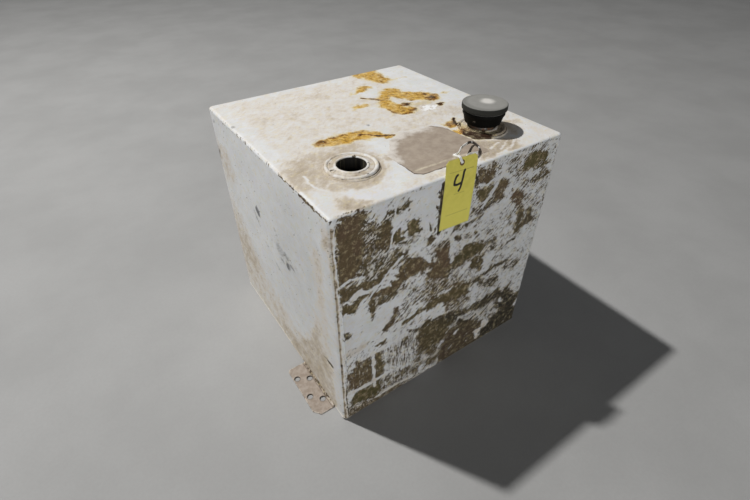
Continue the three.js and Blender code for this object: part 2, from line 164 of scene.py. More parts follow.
def patch(outline, soft=9, **levels):
    """An area inside a closed outline, with soft edges."""
    loop, reach = np.array(outline, float), 1.7 * soft

    def mask(p, q):
        away = distance_to_line(p, q, [*outline, outline[0]])
        inside = inside_loop(np.column_stack([p, q]), loop)
        return smooth(np.where(inside, away, -away), -reach, reach)

    return mask, levels, True


def stroke(points, width, soft=1.6, **levels):
    """A line with soft sides through the points."""

    def mask(p, q):
        away = distance_to_line(p, q, points)
        return smooth(away, width / 2 + soft, max(0.0, width / 2 - soft))

    return mask, levels, width > 12


CHANNELS = ("bare", "olive", "soot", "rust", "burnt", "dirt", "veil", "scuff", "wet", "upright")


def move(levels, share, **targets):
    """Moves the named levels by a share of their way to the targets."""
    for name, target in targets.items():
        levels[name] = levels[name] + share * (target - levels[name])


def lay(p, q, start, marks, seed):
    """Lays the marks in order over the starting levels. Patches get ragged outlines."""
    found = {name: np.full(p.shape, float(start.get(name, 0))) for name in CHANNELS}

    def bent(line, first, shares):
        return line + sum(reach * lattice_noise(p, q, cell, first + i)
                          for i, (cell, reach) in enumerate(shares))

    ragged_shares = ((30, 5), (13, 4.5), (6, 3))
    bent_p, bent_q = bent(p, seed, ragged_shares), bent(q, seed + 3, ragged_shares)
    line_shares = ((22, 1.6), (9, 1.4), (4, 0.8))
    line_p, line_q = bent(p, seed + 6, line_shares), bent(q, seed + 8, line_shares)
    for mask, levels, ragged in marks:
        share = mask(bent_p, bent_q) if ragged else mask(line_p, line_q)
        move(found, share, **levels)
    return found


FRONT_MARKS = [
    # Light wear all over and a grey film to the right
    spot(240, 380, 190, 300, veil=0.5, bare=0.16),
    spot(90, 440, 90, 140, veil=0.45),
    spot(180, 470, 150, 150, bare=0.30),
    spot(220, 330, 100, 90, bare=0.32),
    spot(40, 320, 200, 70, bare=0.30),
    spot(-40, 100, 330, 110, bare=0.42),
    spot(-60, 455, 90, 20, bare=0.22),
    # Upper left: solid brown, worn brown beside it, and small olive pieces
    patch([(-298, 594), (-284, 600), (-268, 606), (-238, 604), (-226, 584), (-234, 540), (-238, 500),
           (-250, 462), (-268, 454), (-294, 458)], bare=1.22, olive=0.15),
    patch([(-240, 602), (-222, 600), (-206, 580), (-196, 558), (-172, 556), (-172, 500), (-196, 490),
           (-212, 476), (-204, 462), (-228, 455), (-250, 458), (-242, 520)], 7,
          bare=0.66, upright=0.4, olive=0.5),
    spot(-186, 532, 15, 26, bare=0.98, olive=0.35),
    spot(-209, 590, 12, 7, bare=0.15),
    stroke([(-286, 606), (-262, 608), (-236, 608)], 5, soft=2, bare=0.50),
    spot(-305, 603, 4, 4, soft=0.3, bare=-0.6, olive=0),
    spot(-297, 599, 4, 4, soft=0.3, bare=-0.4),
    spot(-279, 600, 4, 3, soft=0.3, bare=-0.2),
    spot(-219, 580, 6, 4, soft=0.3, bare=-0.2),
    spot(-301, 608, 3, 3, soft=0.3, bare=1.4, soot=0.9),
    spot(-297, 589, 4, 4, soft=0.3, bare=1.4, soot=0.9),
    patch([(-250, 452), (-206, 458), (-150, 474), (-124, 466), (-158, 436), (-190, 408), (-214, 400),
           (-240, 436)], 6, bare=0.62, olive=0.5),
    patch([(-250, 490), (-215, 500), (-165, 494), (-118, 505), (-108, 492), (-140, 472), (-160, 458),
           (-210, 452), (-250, 456)], bare=0.62, olive=0.6),
    patch([(-196, 562), (-182, 578), (-152, 592), (-128, 590), (-130, 572), (-152, 566)], 6,
          bare=0.86, olive=0.7, soot=0.3),
    patch([(-170, 530), (-150, 531), (-145, 515), (-149, 497), (-171, 499)], 4, bare=1.0, olive=0.9),
    patch([(-137, 539), (-117, 539), (-104, 517), (-108, 508), (-124, 499), (-137, 508)], 3,
          bare=1.3, olive=1.0),
    stroke([(-163, 594), (-168, 550), (-173, 497)], 4, bare=-0.1),
    stroke([(-151, 528), (-136, 527)], 4, bare=0.0),
    stroke([(-151, 515), (-136, 514)], 4, bare=0.0),
    stroke([(-152, 502), (-138, 501)], 4, bare=0.05),
    # Clean strip between the patch and the tag
    patch([(-126, 600), (-60, 604), (-62, 560), (-70, 500), (-100, 505), (-106, 540), (-124, 560)],
          bare=-0.15),
    stroke([(-80, 521), (-77, 505), (-72, 493)], 4, bare=0.95, soot=0.5),
    stroke([(-62, 548), (-57, 540)], 5, bare=0.9, soot=0.6),
    # Middle left band
    patch([(-294, 447), (-256, 447), (-243, 431), (-262, 416), (-274, 400), (-292, 406)], 5,
          bare=1.1, olive=0.5),
    patch([(-293, 400), (-268, 396), (-240, 403), (-230, 394), (-248, 378), (-262, 365), (-280, 374),
           (-293, 372)], 5, bare=1.1, olive=0.6),
    patch([(-247, 437), (-214, 429), (-198, 415), (-222, 411), (-246, 420)], 3, bare=1.05, olive=0.5),
    patch([(-206, 440), (-160, 448), (-172, 436), (-195, 426)], 3, bare=0.95, olive=0.4),
    patch([(-222, 392), (-200, 400), (-176, 397), (-160, 412), (-150, 436), (-128, 450), (-100, 445),
           (-84, 424), (-58, 398), (-78, 386), (-104, 390), (-124, 373), (-148, 368), (-172, 350),
           (-208, 350), (-226, 368)], 6, bare=1.1, olive=0.25),
    spot(-196, 368, 26, 16, bare=0.72, olive=0.6),
    spot(-150, 362, 26, 14, bare=0.55, olive=0.5),
    spot(-122, 366, 20, 24, 35, bare=0.35),
    patch([(-228, 372), (-213, 372), (-211, 340), (-221, 320), (-226, 340)], 4, bare=1.0, olive=0.5),
    stroke([(-300, 451), (-268, 460), (-236, 450)], 7, bare=-0.05),
    stroke([(-252, 362), (-228, 386), (-206, 409), (-182, 433), (-146, 462)], 4, bare=-0.35),
    stroke([(-282, 404), (-256, 415), (-228, 407), (-208, 409)], 5, bare=-0.25),
    stroke([(-278, 406), (-268, 396)], 6, bare=-0.2),
    stroke([(-214, 413), (-192, 413), (-178, 405), (-172, 392)], 5, bare=-0.25),
    stroke([(-192, 424), (-172, 422), (-162, 410), (-156, 405)], 5, bare=-0.25),
    stroke([(-176, 440), (-163, 431), (-152, 420)], 6, bare=-0.25),
    stroke([(-206, 396), (-190, 401), (-180, 397)], 5, bare=-0.1),
    # Centre
    patch([(-66, 432), (-34, 438), (-18, 426), (-12, 405), (-4, 388), (-6, 350), (-20, 322), (-48, 326),
           (-54, 350), (-78, 366), (-66, 386), (-48, 402)], 7, bare=1.15, olive=0.05),
    patch([(-2, 392), (14, 394), (44, 404), (82, 400), (98, 390), (98, 366), (60, 358), (36, 356),
           (8, 352), (-6, 358)], 7, bare=1.1, olive=0.9, soot=0.2),
    patch([(-60, 452), (-20, 446), (0, 448), (40, 436), (50, 426), (20, 424), (-10, 434), (-50, 438)], 5,
          bare=0.78, olive=0.4, soot=0.4),
    patch([(56, 354), (98, 358), (106, 340), (120, 332), (118, 306), (96, 303), (80, 320), (64, 330)], 6,
          bare=0.92, olive=0.6, soot=0.3),
    spot(36, 332, 30, 16, 30, bare=0.42),
    stroke([(20, 312), (62, 346)], 7, bare=0.0),
    stroke([(-96, 444), (-80, 428), (-68, 412)], 10, bare=0.0),
    stroke([(-10, 446), (-6, 412), (0, 378)], 12, bare=0.12),
    # White field at the left and its two dark scars
    patch([(-296, 366), (-262, 356), (-236, 356), (-228, 320), (-206, 318), (-204, 342), (-150, 350),
           (-130, 340), (-150, 322), (-176, 300), (-196, 262), (-240, 256), (-296, 268)], 7, bare=-0.2),
    patch([(-296, 302), (-284, 322), (-272, 320), (-270, 306), (-286, 294)], 4, bare=0.95, soot=0.5),
    patch([(-190, 262), (-182, 286), (-166, 302), (-160, 320), (-150, 312), (-150, 286), (-166, 264),
           (-182, 258)], 5, bare=1.0, olive=0.25, soot=0.25),
    spot(-128, 288, 26, 14, 30, bare=0.44),
    spot(-262, 246, 40, 14, bare=0.15, dirt=0.5),
    spot(-190, 222, 16, 7, bare=0.95, olive=0.7),
    # Speckled middle
    spot(-60, 322, 42, 26, bare=0.62),
    spot(-98, 335, 34, 22, 30, bare=0.40),
    patch([(-60, 316), (-20, 324), (36, 318), (44, 300), (62, 290), (88, 276), (106, 262), (84, 248),
           (66, 230), (78, 212), (60, 203), (8, 205), (-6, 235), (-20, 250), (-60, 254)], 8,
          bare=0.74, olive=0.3),
    patch([(-58, 274), (-30, 284), (10, 292), (48, 293), (72, 268), (74, 244), (50, 236), (28, 246),
           (4, 251), (-40, 253), (-60, 258)], 6, bare=1.0, olive=0.6),
    spot(-5, 290, 22, 7, bare=0.1),
    stroke([(-132, 252), (-84, 262), (-50, 267)], 13, soft=5, bare=0.98, olive=0.7),
    spot(100, 268, 22, 12, bare=0.78, olive=0.5, soot=0.5),
    patch([(-56, 250), (-10, 252), (-6, 220), (-16, 212), (-36, 218), (-56, 238)], 5, bare=-0.05),
    spot(-92, 236, 26, 13, bare=0.15),
    stroke([(-138, 228), (-112, 217), (-90, 201)], 9, bare=0.9, soot=0.6),
    patch([(-98, 198), (-70, 214), (-58, 228), (-52, 214), (-36, 205), (0, 200), (-30, 194)], 5,
          bare=0.95, olive=0.4, soot=0.5),
    spot(40, 216, 38, 20, bare=0.66, olive=0.2),
    spot(96, 236, 18, 22, bare=0.12),
    spot(40, 190, 34, 9, 5, bare=0.30),
    # Right of the centre
    spot(124, 326, 15, 26, bare=-0.05),
    patch([(100, 396), (134, 388), (150, 376), (146, 354), (122, 350), (100, 370)], 7,
          bare=0.66, soot=0.6),
    stroke([(104, 276), (150, 286), (206, 284)], 11, soft=5, bare=0.88, soot=0.8),
    patch([(106, 262), (130, 254), (172, 252), (184, 230), (178, 213), (150, 222), (118, 234)], 7,
          bare=0.80, soot=0.8),
    spot(240, 262, 16, 10, bare=0.80, soot=0.8),
    spot(205, 262, 14, 10, bare=0.60, soot=0.8),
    spot(240, 336, 60, 34, bare=0.12),
    stroke([(150, 336), (176, 350), (214, 350)], 9, soft=4, bare=0.70, soot=0.6),
    # Upper right
    spot(78, 478, 84, 24, bare=0.12),
    stroke([(-6, 470), (30, 462), (72, 474)], 14, soft=5, bare=0.66, soot=0.4),
    spot(-72, 466, 13, 8, 40, bare=0.95, soot=0.4),
    patch([(44, 602), (94, 602), (96, 580), (88, 558), (70, 554), (46, 560), (42, 580)], 5,
          bare=0.95, upright=1, olive=0.1),
    patch([(52, 548), (94, 547), (88, 532), (76, 516), (62, 521), (51, 540)], 4, bare=1.2, olive=0.7),
    patch([(40, 508), (108, 512), (118, 494), (60, 483), (38, 486)], 5, bare=0.72, soot=0.5),
    patch([(103, 520), (112, 545), (130, 557), (141, 540), (138, 514), (142, 502), (110, 500)], 5,
          bare=1.0, olive=0.35),
    spot(152, 532, 9, 20, bare=0.05),
    stroke([(70, 500), (100, 532), (124, 566)], 8, bare=-0.1),
    stroke([(50, 562), (74, 553), (98, 560)], 5, bare=-0.2),
    spot(158, 590, 26, 10, bare=0.56),
    patch([(166, 556), (186, 566), (198, 583), (232, 588), (264, 575), (258, 560), (236, 552),
           (200, 551)], 4, bare=1.2, olive=1.0),
    spot(250, 550, 30, 6, -6, bare=0.72, olive=0.8),
    patch([(156, 498), (176, 507), (186, 498), (204, 485), (213, 462), (196, 456), (184, 466),
           (168, 480)], 5, bare=1.05, olive=0.1),
    stroke([(150, 486), (172, 504), (184, 534)], 7, bare=0.0),
    patch([(198, 452), (212, 458), (222, 440), (226, 412), (214, 390), (206, 370), (198, 388),
           (206, 412), (198, 430)], 5, bare=1.05, olive=0.6, soot=0.3),
    patch([(234, 402), (238, 430), (252, 437), (261, 420), (258, 400), (270, 392), (264, 376),
           (238, 384), (210, 366), (206, 382)], 5, bare=0.98, olive=0.5, soot=0.4),
    patch([(226, 524), (262, 531), (282, 518), (262, 507), (240, 505), (228, 512)], 5,
          bare=0.74, soot=0.5),
    spot(276, 470, 24, 22, bare=0.34, soot=0.5),
    spot(200, 520, 20, 12, bare=0.50),
    # Lower left: streaked panel with light scratches
    patch([(-288, 176), (-264, 203), (-246, 197), (-224, 200), (-221, 103), (-288, 105)], 6,
          bare=0.93, upright=1, olive=0.25),
    patch([(-210, 196), (-190, 198), (-186, 108), (-211, 103)], 5, bare=0.98, upright=1, olive=0.6),
    patch([(-186, 202), (-96, 206), (-84, 150), (-96, 20), (-186, 104)], bare=0.40, upright=1,
          olive=0.3),
    spot(-128, 182, 10, 15, bare=0.85, upright=1, soot=0.7),
    spot(-276, 190, 10, 14, bare=0.3),
    patch([(-282, 72), (-262, 91), (-200, 88), (-190, 70), (-202, 52), (-204, 32), (-262, 38),
           (-287, 40)], 6, bare=1.02, upright=0.6, olive=1.0),
    patch([(-298, 36), (-262, 32), (-200, 24), (-90, 12), (-90, 0), (-300, 0)], 6,
          bare=0.70, upright=0.6, olive=0.3, dirt=0.8),
    patch([(-196, 90), (-84, 84), (-84, 26), (-196, 30)], 7, bare=0.56, upright=0.6),
    stroke([(-219, 210), (-217, 150), (-214, 72)], 7, bare=-0.1, dirt=0.3),
    stroke([(-296, 99), (-240, 97), (-162, 98)], 10, bare=-0.2, dirt=0.3),
    stroke([(-238, 202), (-176, 201)], 7, bare=-0.1, dirt=0.3),
    stroke([(-206, 24), (-150, 26), (-108, 22)], 7, bare=0.0, dirt=0.4),
    spot(-285, 90, 12, 14, bare=0.0),
    spot(-150, 216, 30, 12, bare=0.05),
    # Lower centre and the nearly black lower right: brown and soot, darkened further with painted shade
    # near the floor
    patch([(-92, 172), (-80, 190), (-60, 200), (-30, 197), (0, 198), (18, 176), (54, 168), (34, 150),
           (12, 130), (-8, 104), (-56, 96), (-68, 92), (-78, 110), (-74, 140), (-88, 158)], 7,
          bare=1.1, olive=0.6, soot=0.25),
    patch([(-70, 100), (-10, 106), (0, 60), (6, 24), (-84, 18), (-92, 40), (-40, 70)], 8,
          bare=0.74, soot=0.15),
    patch([(-20, 206), (30, 197), (60, 180), (100, 177), (130, 186), (170, 188), (202, 182), (200, 158),
           (170, 145), (140, 144), (110, 155), (70, 160), (40, 158), (0, 170)], 7,
          bare=1.06, soot=0.85),
    patch([(34, 150), (60, 157), (110, 152), (150, 142), (176, 138), (202, 120), (196, 106),
           (150, 103), (124, 112), (104, 122), (84, 119), (60, 127), (40, 136)], 6,
          bare=0.36, soot=0.7, veil=1.2, dirt=0.3),
    stroke([(58, 148), (76, 127), (96, 122), (120, 129)], 9, soft=3, bare=0.95, soot=0.9),
    patch([(2, 100), (20, 124), (60, 130), (84, 118), (104, 112), (126, 102), (152, 86), (146, 66),
           (128, 52), (130, 36), (142, 20), (152, 0), (14, 0), (0, 30)], 7,
          bare=1.12, olive=0.0, soot=0.50),
    spot(-6, 94, 12, 6, 35, bare=0.25),
    spot(52, 100, 14, 6, 35, bare=0.35),
    spot(34, 46, 16, 5, 30, bare=0.45),
    patch([(194, 182), (210, 167), (224, 170), (238, 187), (248, 172), (252, 150), (264, 136),
           (282, 120), (302, 124), (306, 80), (290, 72), (262, 80), (240, 96), (212, 94), (202, 120),
           (194, 145)], 7, bare=1.1, soot=1.0),
    patch([(176, 62), (200, 82), (236, 92), (262, 102), (284, 86), (297, 60), (306, 50), (306, 0),
           (148, 0), (160, 20), (154, 40)], 7, bare=1.2, soot=0.97),
    spot(-64, 36, 18, 10, bare=0.12),
    spot(142, 51, 14, 11, soft=0.3, bare=-0.4, soot=0, dirt=0.4),
    spot(166, 68, 9, 18, 24, soft=0.3, bare=-0.3, soot=0, dirt=0.4),
    spot(176, 96, 8, 12, 30, bare=0.35, soot=0.3),
    spot(216, 132, 8, 15, 15, bare=0.30, soot=0.5),
    spot(146, 22, 10, 6, bare=0.10, dirt=0.4),
    spot(292, 76, 9, 18, bare=0.25, soot=0.5),
    spot(270, 190, 30, 30, bare=0.24, soot=0.5),
    # Dark marks beside the tag, partly painted shade where the card's edges stand near the wall
    stroke([(-50, 600), (-51, 560), (-51, 520), (-49, 480)], 9, soft=2, bare=1.3, soot=0.95),
    spot(-55, 570, 4, 9, bare=1.0, soot=0.8),
    spot(-66, 492, 5, 9, bare=0.9, soot=0.8),
    stroke([(37, 590), (41, 575), (39, 560)], 7, soft=2, bare=1.3, soot=0.85),
    # Clean corner strips and a small deep pit
    stroke([(-302, 590), (-302, 10)], 7, bare=0.34, olive=0.6, soot=0, dirt=1.15),
    stroke([(-297.5, 590), (-297.5, 10)], 1.6, soft=0.9, bare=-0.6, dirt=0.3),
    stroke([(303, 605), (303, 130)], 8, bare=0.05),
    stroke([(-300, 217), (-300, 213)], 4, soft=1, bare=1.6, soot=1),
    stroke([(-294, 120), (-295, 20)], 3, bare=0.9, soot=0.6),
]

TOP_MARKS = [
    # Dust: pale over most of the sheet, thicker round the left opening, thin along the edges
    spot(-60, 120, 210, 150, dirt=0.44),
    spot(-32, 205, 44, 24, 10, dirt=0.62),
    spot(-228, 132, 28, 16, dirt=0.58),
    spot(-165, 130, 40, 26, 30, dirt=0.50),
    spot(-95, 40, 80, 40, 20, dirt=0.46),
    spot(-40, 40, 30, 16, dirt=0.50),
    spot(-120, 255, 40, 20, dirt=0.48),
    spot(20, 235, 30, 20, dirt=0.44),
    spot(-290, 80, 22, 240, dirt=0.12),
    spot(-60, 292, 220, 14, dirt=0.12),
    spot(255, 150, 66, 190, dirt=-0.05),
    spot(90, 165, 40, 30, 35, dirt=0.04),
    spot(250, -250, 70, 56, dirt=0.22),
    spot(140, -62, 90, 26, -8, dirt=0.50),
    spot(30, -75, 46, 24, dirt=0.50),
    spot(-195, -165, 112, 96, dirt=0.74),
    spot(-174, -172, 84, 84, dirt=0.84),
    spot(-262, -150, 36, 60, dirt=0.86),
    spot(-280, -205, 22, 30, dirt=0.80),
    patch([(-297, -208), (-258, -214), (-253, -235), (-261, -257), (-286, -278), (-308, -272),
           (-305, -252)], dirt=0.16),
    patch([(-247, -239), (-220, -246), (-191, -276), (-155, -272), (-138, -288), (-162, -308),
           (-207, -301), (-231, -271), (-236, -253)], dirt=-0.1),
    patch([(-261, -257), (-242, -263), (-237, -277), (-208, -303), (-242, -302), (-275, -301),
           (-273, -281)], 6, dirt=0.88),
    patch([(-107, -196), (-84, -200), (-92, -262), (-111, -279), (-136, -280), (-148, -264),
           (-127, -233)], dirt=-0.1),
    patch([(-92, -90), (-25, -103), (-47, -139), (-81, -171), (-96, -157), (-109, -133)],
          dirt=-0.02),
    patch([(-96, -282), (0, -284), (60, -296), (60, -304), (-120, -303)], 4, dirt=0.46),
    patch([(100, -226), (146, -246), (190, -258), (198, -276), (174, -297), (140, -302), (60, -298)],
          6, dirt=0.96),
    stroke([(112, -270), (128, -264), (146, -258)], 4, dirt=0.0),
    stroke([(128, -284), (150, -274), (168, -262)], 3, dirt=0.1),
    stroke([(150, -292), (166, -284), (186, -268)], 4, dirt=0.0),
    stroke([(186, -290), (204, -272), (216, -252)], 3, dirt=-0.1),
    spot(124, -296, 22, 4, 6, dirt=0.1),
    # Dust laid where the cap's shadow falls, tinting that shadow: partly painted shade
    spot(240, -202, 34, 18, dirt=1.0),
    spot(222, -222, 42, 22, 32, dirt=0.62),
    # Light lines left by a ring that once stood round the opening
    stroke([(-270, -150), (-273, -180), (-270, -205), (-262, -222)], 4, dirt=0.1),
    stroke([(-213, -256), (-187, -261), (-161, -256), (-136, -239), (-114, -209), (-104, -186)],
           4, dirt=0.28),
    # Amber patches at the far edge
    patch([(121, 312), (152, 315), (202, 312), (205, 273), (201, 238), (194, 202), (173, 182),
           (160, 191), (147, 210), (145, 236), (131, 256), (121, 272)], 6, rust=0.88),
    spot(166, 214, 12, 14, burnt=0.30),
    spot(190, 245, 8, 26, -8, burnt=0.28),
    patch([(39, 162), (63, 190), (94, 211), (114, 209), (118, 194), (99, 170), (83, 169), (63, 167)],
          4, rust=0.94),
    spot(98, 182, 12, 5, 20, burnt=0.40),
    patch([(-13, 76), (11, 95), (27, 102), (40, 91), (30, 74), (12, 71)], 4, rust=0.80),
    stroke([(48, 134), (55, 122), (66, 112), (76, 96)], 9, soft=3, rust=1.0, burnt=0.66),
    stroke([(213, 204), (237, 208), (248, 200)], 6, soft=4, rust=0.52),
    spot(258, 38, 12, 8, 20, rust=0.44, dirt=0.5),
    # Main cluster
    patch([(79, 107), (104, 130), (133, 154), (152, 151), (169, 138), (170, 114), (186, 94), (214, 72),
           (228, 52), (235, 30), (220, 13), (196, 15), (182, 26), (157, 39), (149, 52), (139, 68),
           (116, 90), (98, 88)], 6, rust=0.94),
    patch([(78, 108), (54, 60), (54, 27), (59, 2), (73, -14), (99, -21), (114, -18), (122, -2),
           (118, 16), (107, 28), (101, 47), (104, 70), (104, 92)], 6, rust=0.94),
    patch([(102, 28), (111, 45), (131, 44), (144, 33), (131, 23), (113, 24)], 3, rust=1.0, burnt=0.72),
    patch([(189, 0), (201, -4), (209, -14), (194, -31), (180, -25)], 3, rust=1.0, burnt=0.80),
    patch([(193, 44), (219, 55), (236, 42), (227, 20), (201, 12), (184, 24)], 5, rust=1.0, burnt=0.50),
    spot(210, 30, 11, 9, burnt=0.60),
    spot(198, 66, 15, 8, -30, burnt=0.42),
    spot(84, 92, 12, 6, 10, burnt=0.50),
    spot(151, 52, 6, 9, rust=0.95, burnt=0.50),
    spot(112, -4, 9, 9, burnt=0.60),
    spot(150, 112, 20, 6, 30, burnt=0.26),
    stroke([(63, 30), (61, 4), (74, -14), (96, -19)], 7, soft=4, rust=1.0, burnt=0.58),
    spot(152, 16, 34, 10, rust=0.22, dirt=0.80),
    # A glossy spill, its white a painted highlight
    patch([(134, -3), (151, 3), (169, -6), (184, -9), (178, -27), (158, -31), (134, -30), (127, -18)],
          3, rust=0.0, dirt=0.9, wet=0.66),
    # Curved streak
    patch([(-195, -44), (-176, -30), (-149, -29), (-125, -31), (-92, -31), (-67, -34), (-49, -45),
           (-41, -61), (-28, -79), (-15, -98), (-28, -107), (-48, -92), (-60, -84), (-75, -86),
           (-96, -76), (-124, -73), (-155, -68), (-178, -59), (-192, -50)], 5, rust=0.93),
    spot(-171, -44, 17, 9, -15, burnt=0.42),
    stroke([(-150, -33), (-110, -35), (-70, -40)], 5, soft=4, burnt=0.40),
    stroke([(-83, -53), (-66, -62), (-55, -72), (-45, -84), (-28, -91), (-17, -99)], 7, soft=4,
           rust=1.0, burnt=0.74),
    # Beside the cap
    patch([(111, -148), (109, -128), (114, -118), (131, -114), (150, -106), (158, -103), (147, -126),
           (132, -144)], 4, rust=0.94, burnt=0.2),
    spot(126, -130, 12, 9, 30, burnt=0.42),
    patch([(97, -172), (108, -151), (117, -162), (118, -178), (107, -184)], 3, rust=0.86),
    patch([(127, -164), (136, -177), (140, -192), (121, -212), (111, -200), (110, -184), (117, -172)],
          4, rust=1.0, burnt=0.80),
    stroke([(158, -103), (144, -123), (134, -143), (129, -158), (126, -178)], 7, soft=2, rust=1.0,
           burnt=0.92),
    patch([(118, -192), (134, -194), (152, -194), (159, -206), (159, -219), (136, -230), (118, -228),
           (111, -208)], 4, rust=1.0, burnt=1.30),
    # Specks, chipped edge at the left front corner
    spot(-28, -15, 3, 4, scuff=0.6),
    spot(-155, 131, 6, 5, scuff=0.4),
    spot(-228, 132, 9, 5, scuff=0.3),
    spot(-298, 148, 5, 6, scuff=0.6),
    stroke([(-300, -200), (-301, -300)], 5, dirt=-0.1, bare=-0.4),
    stroke([(-304, 200), (-304, -120)], 3, soft=1, bare=0.30),
    stroke([(-292, -303), (-232, -305)], 4, soft=2, bare=0.55, soot=0.3),
    # A clean white line along the front edge, partly a painted highlight on its bend
    stroke([(-130, -305.5), (305, -305.5)], 6, dirt=-0.1),
]

LEFT_MARKS = [
    # Grey film towards the front, beige dirt over the lower rear triangle and along the floor
    spot(-170, 300, 150, 260, veil=0.36),
    spot(0, 100, 300, 160, veil=0.22),
    spot(250, 170, 130, 190, dirt=0.60),
    spot(210, 190, 70, 60, dirt=0.72),
    spot(80, 80, 170, 90, dirt=0.48),
    spot(-40, 36, 190, 40, dirt=0.66),
    spot(-170, 24, 130, 30, dirt=1.0),
    spot(110, 60, 24, 40, -35, dirt=0.30),
    spot(262, 470, 60, 60, dirt=0.50),
    patch([(-262, 200), (-246, 250), (-214, 300), (-160, 190), (-70, 90), (-70, 0), (-292, 0),
           (-289, 60), (-278, 120)], 14, dirt=0.74),
    stroke([(-246, 500), (-250, 390), (-244, 300), (-236, 215)], 40, soft=26, dirt=0.50),
    stroke([(-289, 560), (-288, 20)], 26, soft=6, dirt=0.14, veil=0.3),
    spot(40, 330, 170, 120, dirt=-0.05),
    # Black rubs
    spot(65, 426, 9, 14, -30, soft=0.6, scuff=1.0),
    spot(80, 398, 8, 26, -38, soft=0.8, scuff=0.55),
    spot(-45, 420, 24, 20, soft=0.8, scuff=0.28),
    spot(-50, 382, 22, 18, soft=0.8, scuff=0.50),
    spot(-88, 386, 16, 12, soft=0.8, scuff=0.60),
    spot(-93, 357, 9, 10, soft=0.7, scuff=1.0),
    spot(-112, 364, 12, 6, 30, soft=0.7, scuff=0.75),
    spot(-60, 352, 10, 8, soft=0.7, scuff=0.60),
    spot(-130, 376, 22, 8, 20, soft=0.8, scuff=0.32),
    spot(30, 334, 24, 8, 25, soft=0.8, scuff=0.32),
    spot(-20, 304, 26, 6, 25, soft=0.8, scuff=0.50),
    spot(300, 490, 14, 22, soft=0.8, scuff=0.70),
    spot(280, 456, 34, 16, soft=0.9, scuff=0.28),
    spot(280, 580, 11, 5, soft=0.8, scuff=0.55),
    stroke([(142, 491), (60, 502), (-40, 517), (-152, 534)], 2.5, scuff=0.26),
    # Dark line along the dent's upper lip: painted shade, with dirt
    stroke([(-228, 172), (-252, 178), (-276, 180)], 5, soft=3, scuff=0.55, dirt=0.9),
    # Chipped and rusty along the top near the front corner
    stroke([(-110, 607), (-160, 607), (-204, 606)], 3, soft=1, bare=0.85, soot=0.2),
    stroke([(-198, 606), (-222, 606), (-256, 606)], 6, soft=2, bare=1.0, soot=0.4),
    stroke([(-256, 606), (-300, 606)], 3, soft=2, bare=0.75, soot=0.4),
    spot(-290, 560, 14, 30, bare=0.0, dirt=0.6),
    spot(-303, 520, 8, 60, bare=0.20, dirt=0.6),
    stroke([(300, 605), (-100, 605)], 3, soft=2, bare=0.35),
    # Rusty crevice over the foot plate
    stroke([(-88, 7), (-170, 8), (-262, 8)], 7, soft=4, bare=0.62, dirt=0.9, soot=0.3),
]


def mirrored(marks):
    """The same marks on the opposite face, seen from outside it."""
    return [(lambda p, q, mask=mask: mask(-p, q), levels, ragged) for mask, levels, ragged in marks]


def scattered(seed, count, half_width, height, **levels):
    """Small worn patches at fixed random places."""
    random = np.random.default_rng(seed)
    patches = []
    for _ in range(count):
        x, y = random.uniform(-half_width, half_width), random.uniform(0, height)
        across, up = random.uniform(8, 44), random.uniform(5, 26)
        patches.append(spot(x, y, across, up, random.uniform(20, 60), **levels))
    return patches


REAR_MARKS = [
    spot(0, 30, 320, 60, dirt=0.6, bare=0.4),
    *scattered(71, 44, 290, 600, bare=0.95, olive=0.4),
]
RIGHT_MARKS = mirrored(LEFT_MARKS[:12]) + scattered(72, 9, 290, 500, scuff=0.4)

# Starting levels, marks and seed of each face
FACES = {
    "front": ({"bare": 0.08, "dirt": 0.06, "olive": 0.35}, FRONT_MARKS, 11),
    "left": ({"dirt": -0.12, "bare": -0.15}, LEFT_MARKS, 31),
    "right": ({"dirt": -0.08, "bare": -0.1}, RIGHT_MARKS, 41),
    "rear": ({"bare": 0.14, "dirt": 0.25}, REAR_MARKS, 51),
    "top": ({"dirt": 0.36, "bare": -0.3}, TOP_MARKS, 61),
    "under": ({"dirt": 0.7, "bare": 0.4}, [], 81),
}


def places(mesh):
    """Coordinates of a mesh's points, one row for each axis, in millimetres."""
    points = np.empty(len(mesh.vertices) * 3)
    mesh.vertices.foreach_get("co", points)
    return (points.reshape(-1, 3) / MM).T


def paint(obj, outside=None, top_only=False, change=None, **least):
    """Writes the wear and dirt channels on a piece by where each point lies on the tank.
    Points from number outside on are the sheet's inner side. change(levels, x, y, z) may
    alter the levels, and least gives the lowest ones."""
    x, y, z = places(obj.data)
    half_w, half_d, top = HALF_WIDTH / MM, HALF_DEPTH / MM, TOP / MM
    away = {
        "front": (half_d + y, x, z),
        "left": (half_w + x, y, z),
        "right": (half_w - x, y, z),
        "rear": (half_d - y, -x, z),
        "top": (top - z, x, y),
        "under": (z, x, y),
    }
    names = list(away)
    nearest = np.argmin([away[name][0] for name in names], axis=0)
    if top_only:
        nearest[:] = names.index("top")
    levels = {name: np.zeros(len(x)) for name in CHANNELS}
    for number, face in enumerate(names):
        here = nearest == number
        if not here.any():
            continue
        start, marks, seed = FACES[face]
        _, p, q = away[face]
        for name, values in lay(p[here], q[here], start, marks, seed).items():
            levels[name][here] = values
    for name, value in least.items():
        levels[name] = np.maximum(levels[name], value)
    if change:
        change(levels, x, y, z)
    if outside is not None:
        levels["bare"][outside:] = 1.5
        levels["soot"][outside:] = 0.9
    for name in CHANNELS:
        channel(obj, name, levels[name])


def channel(obj, name, values):
    """Stores one value for each vertex, for the material to read."""
    attribute = obj.data.attributes.new(name, "FLOAT", "POINT")
    attribute.data.foreach_set("value", np.asarray(values, np.float32))


# Mesh building

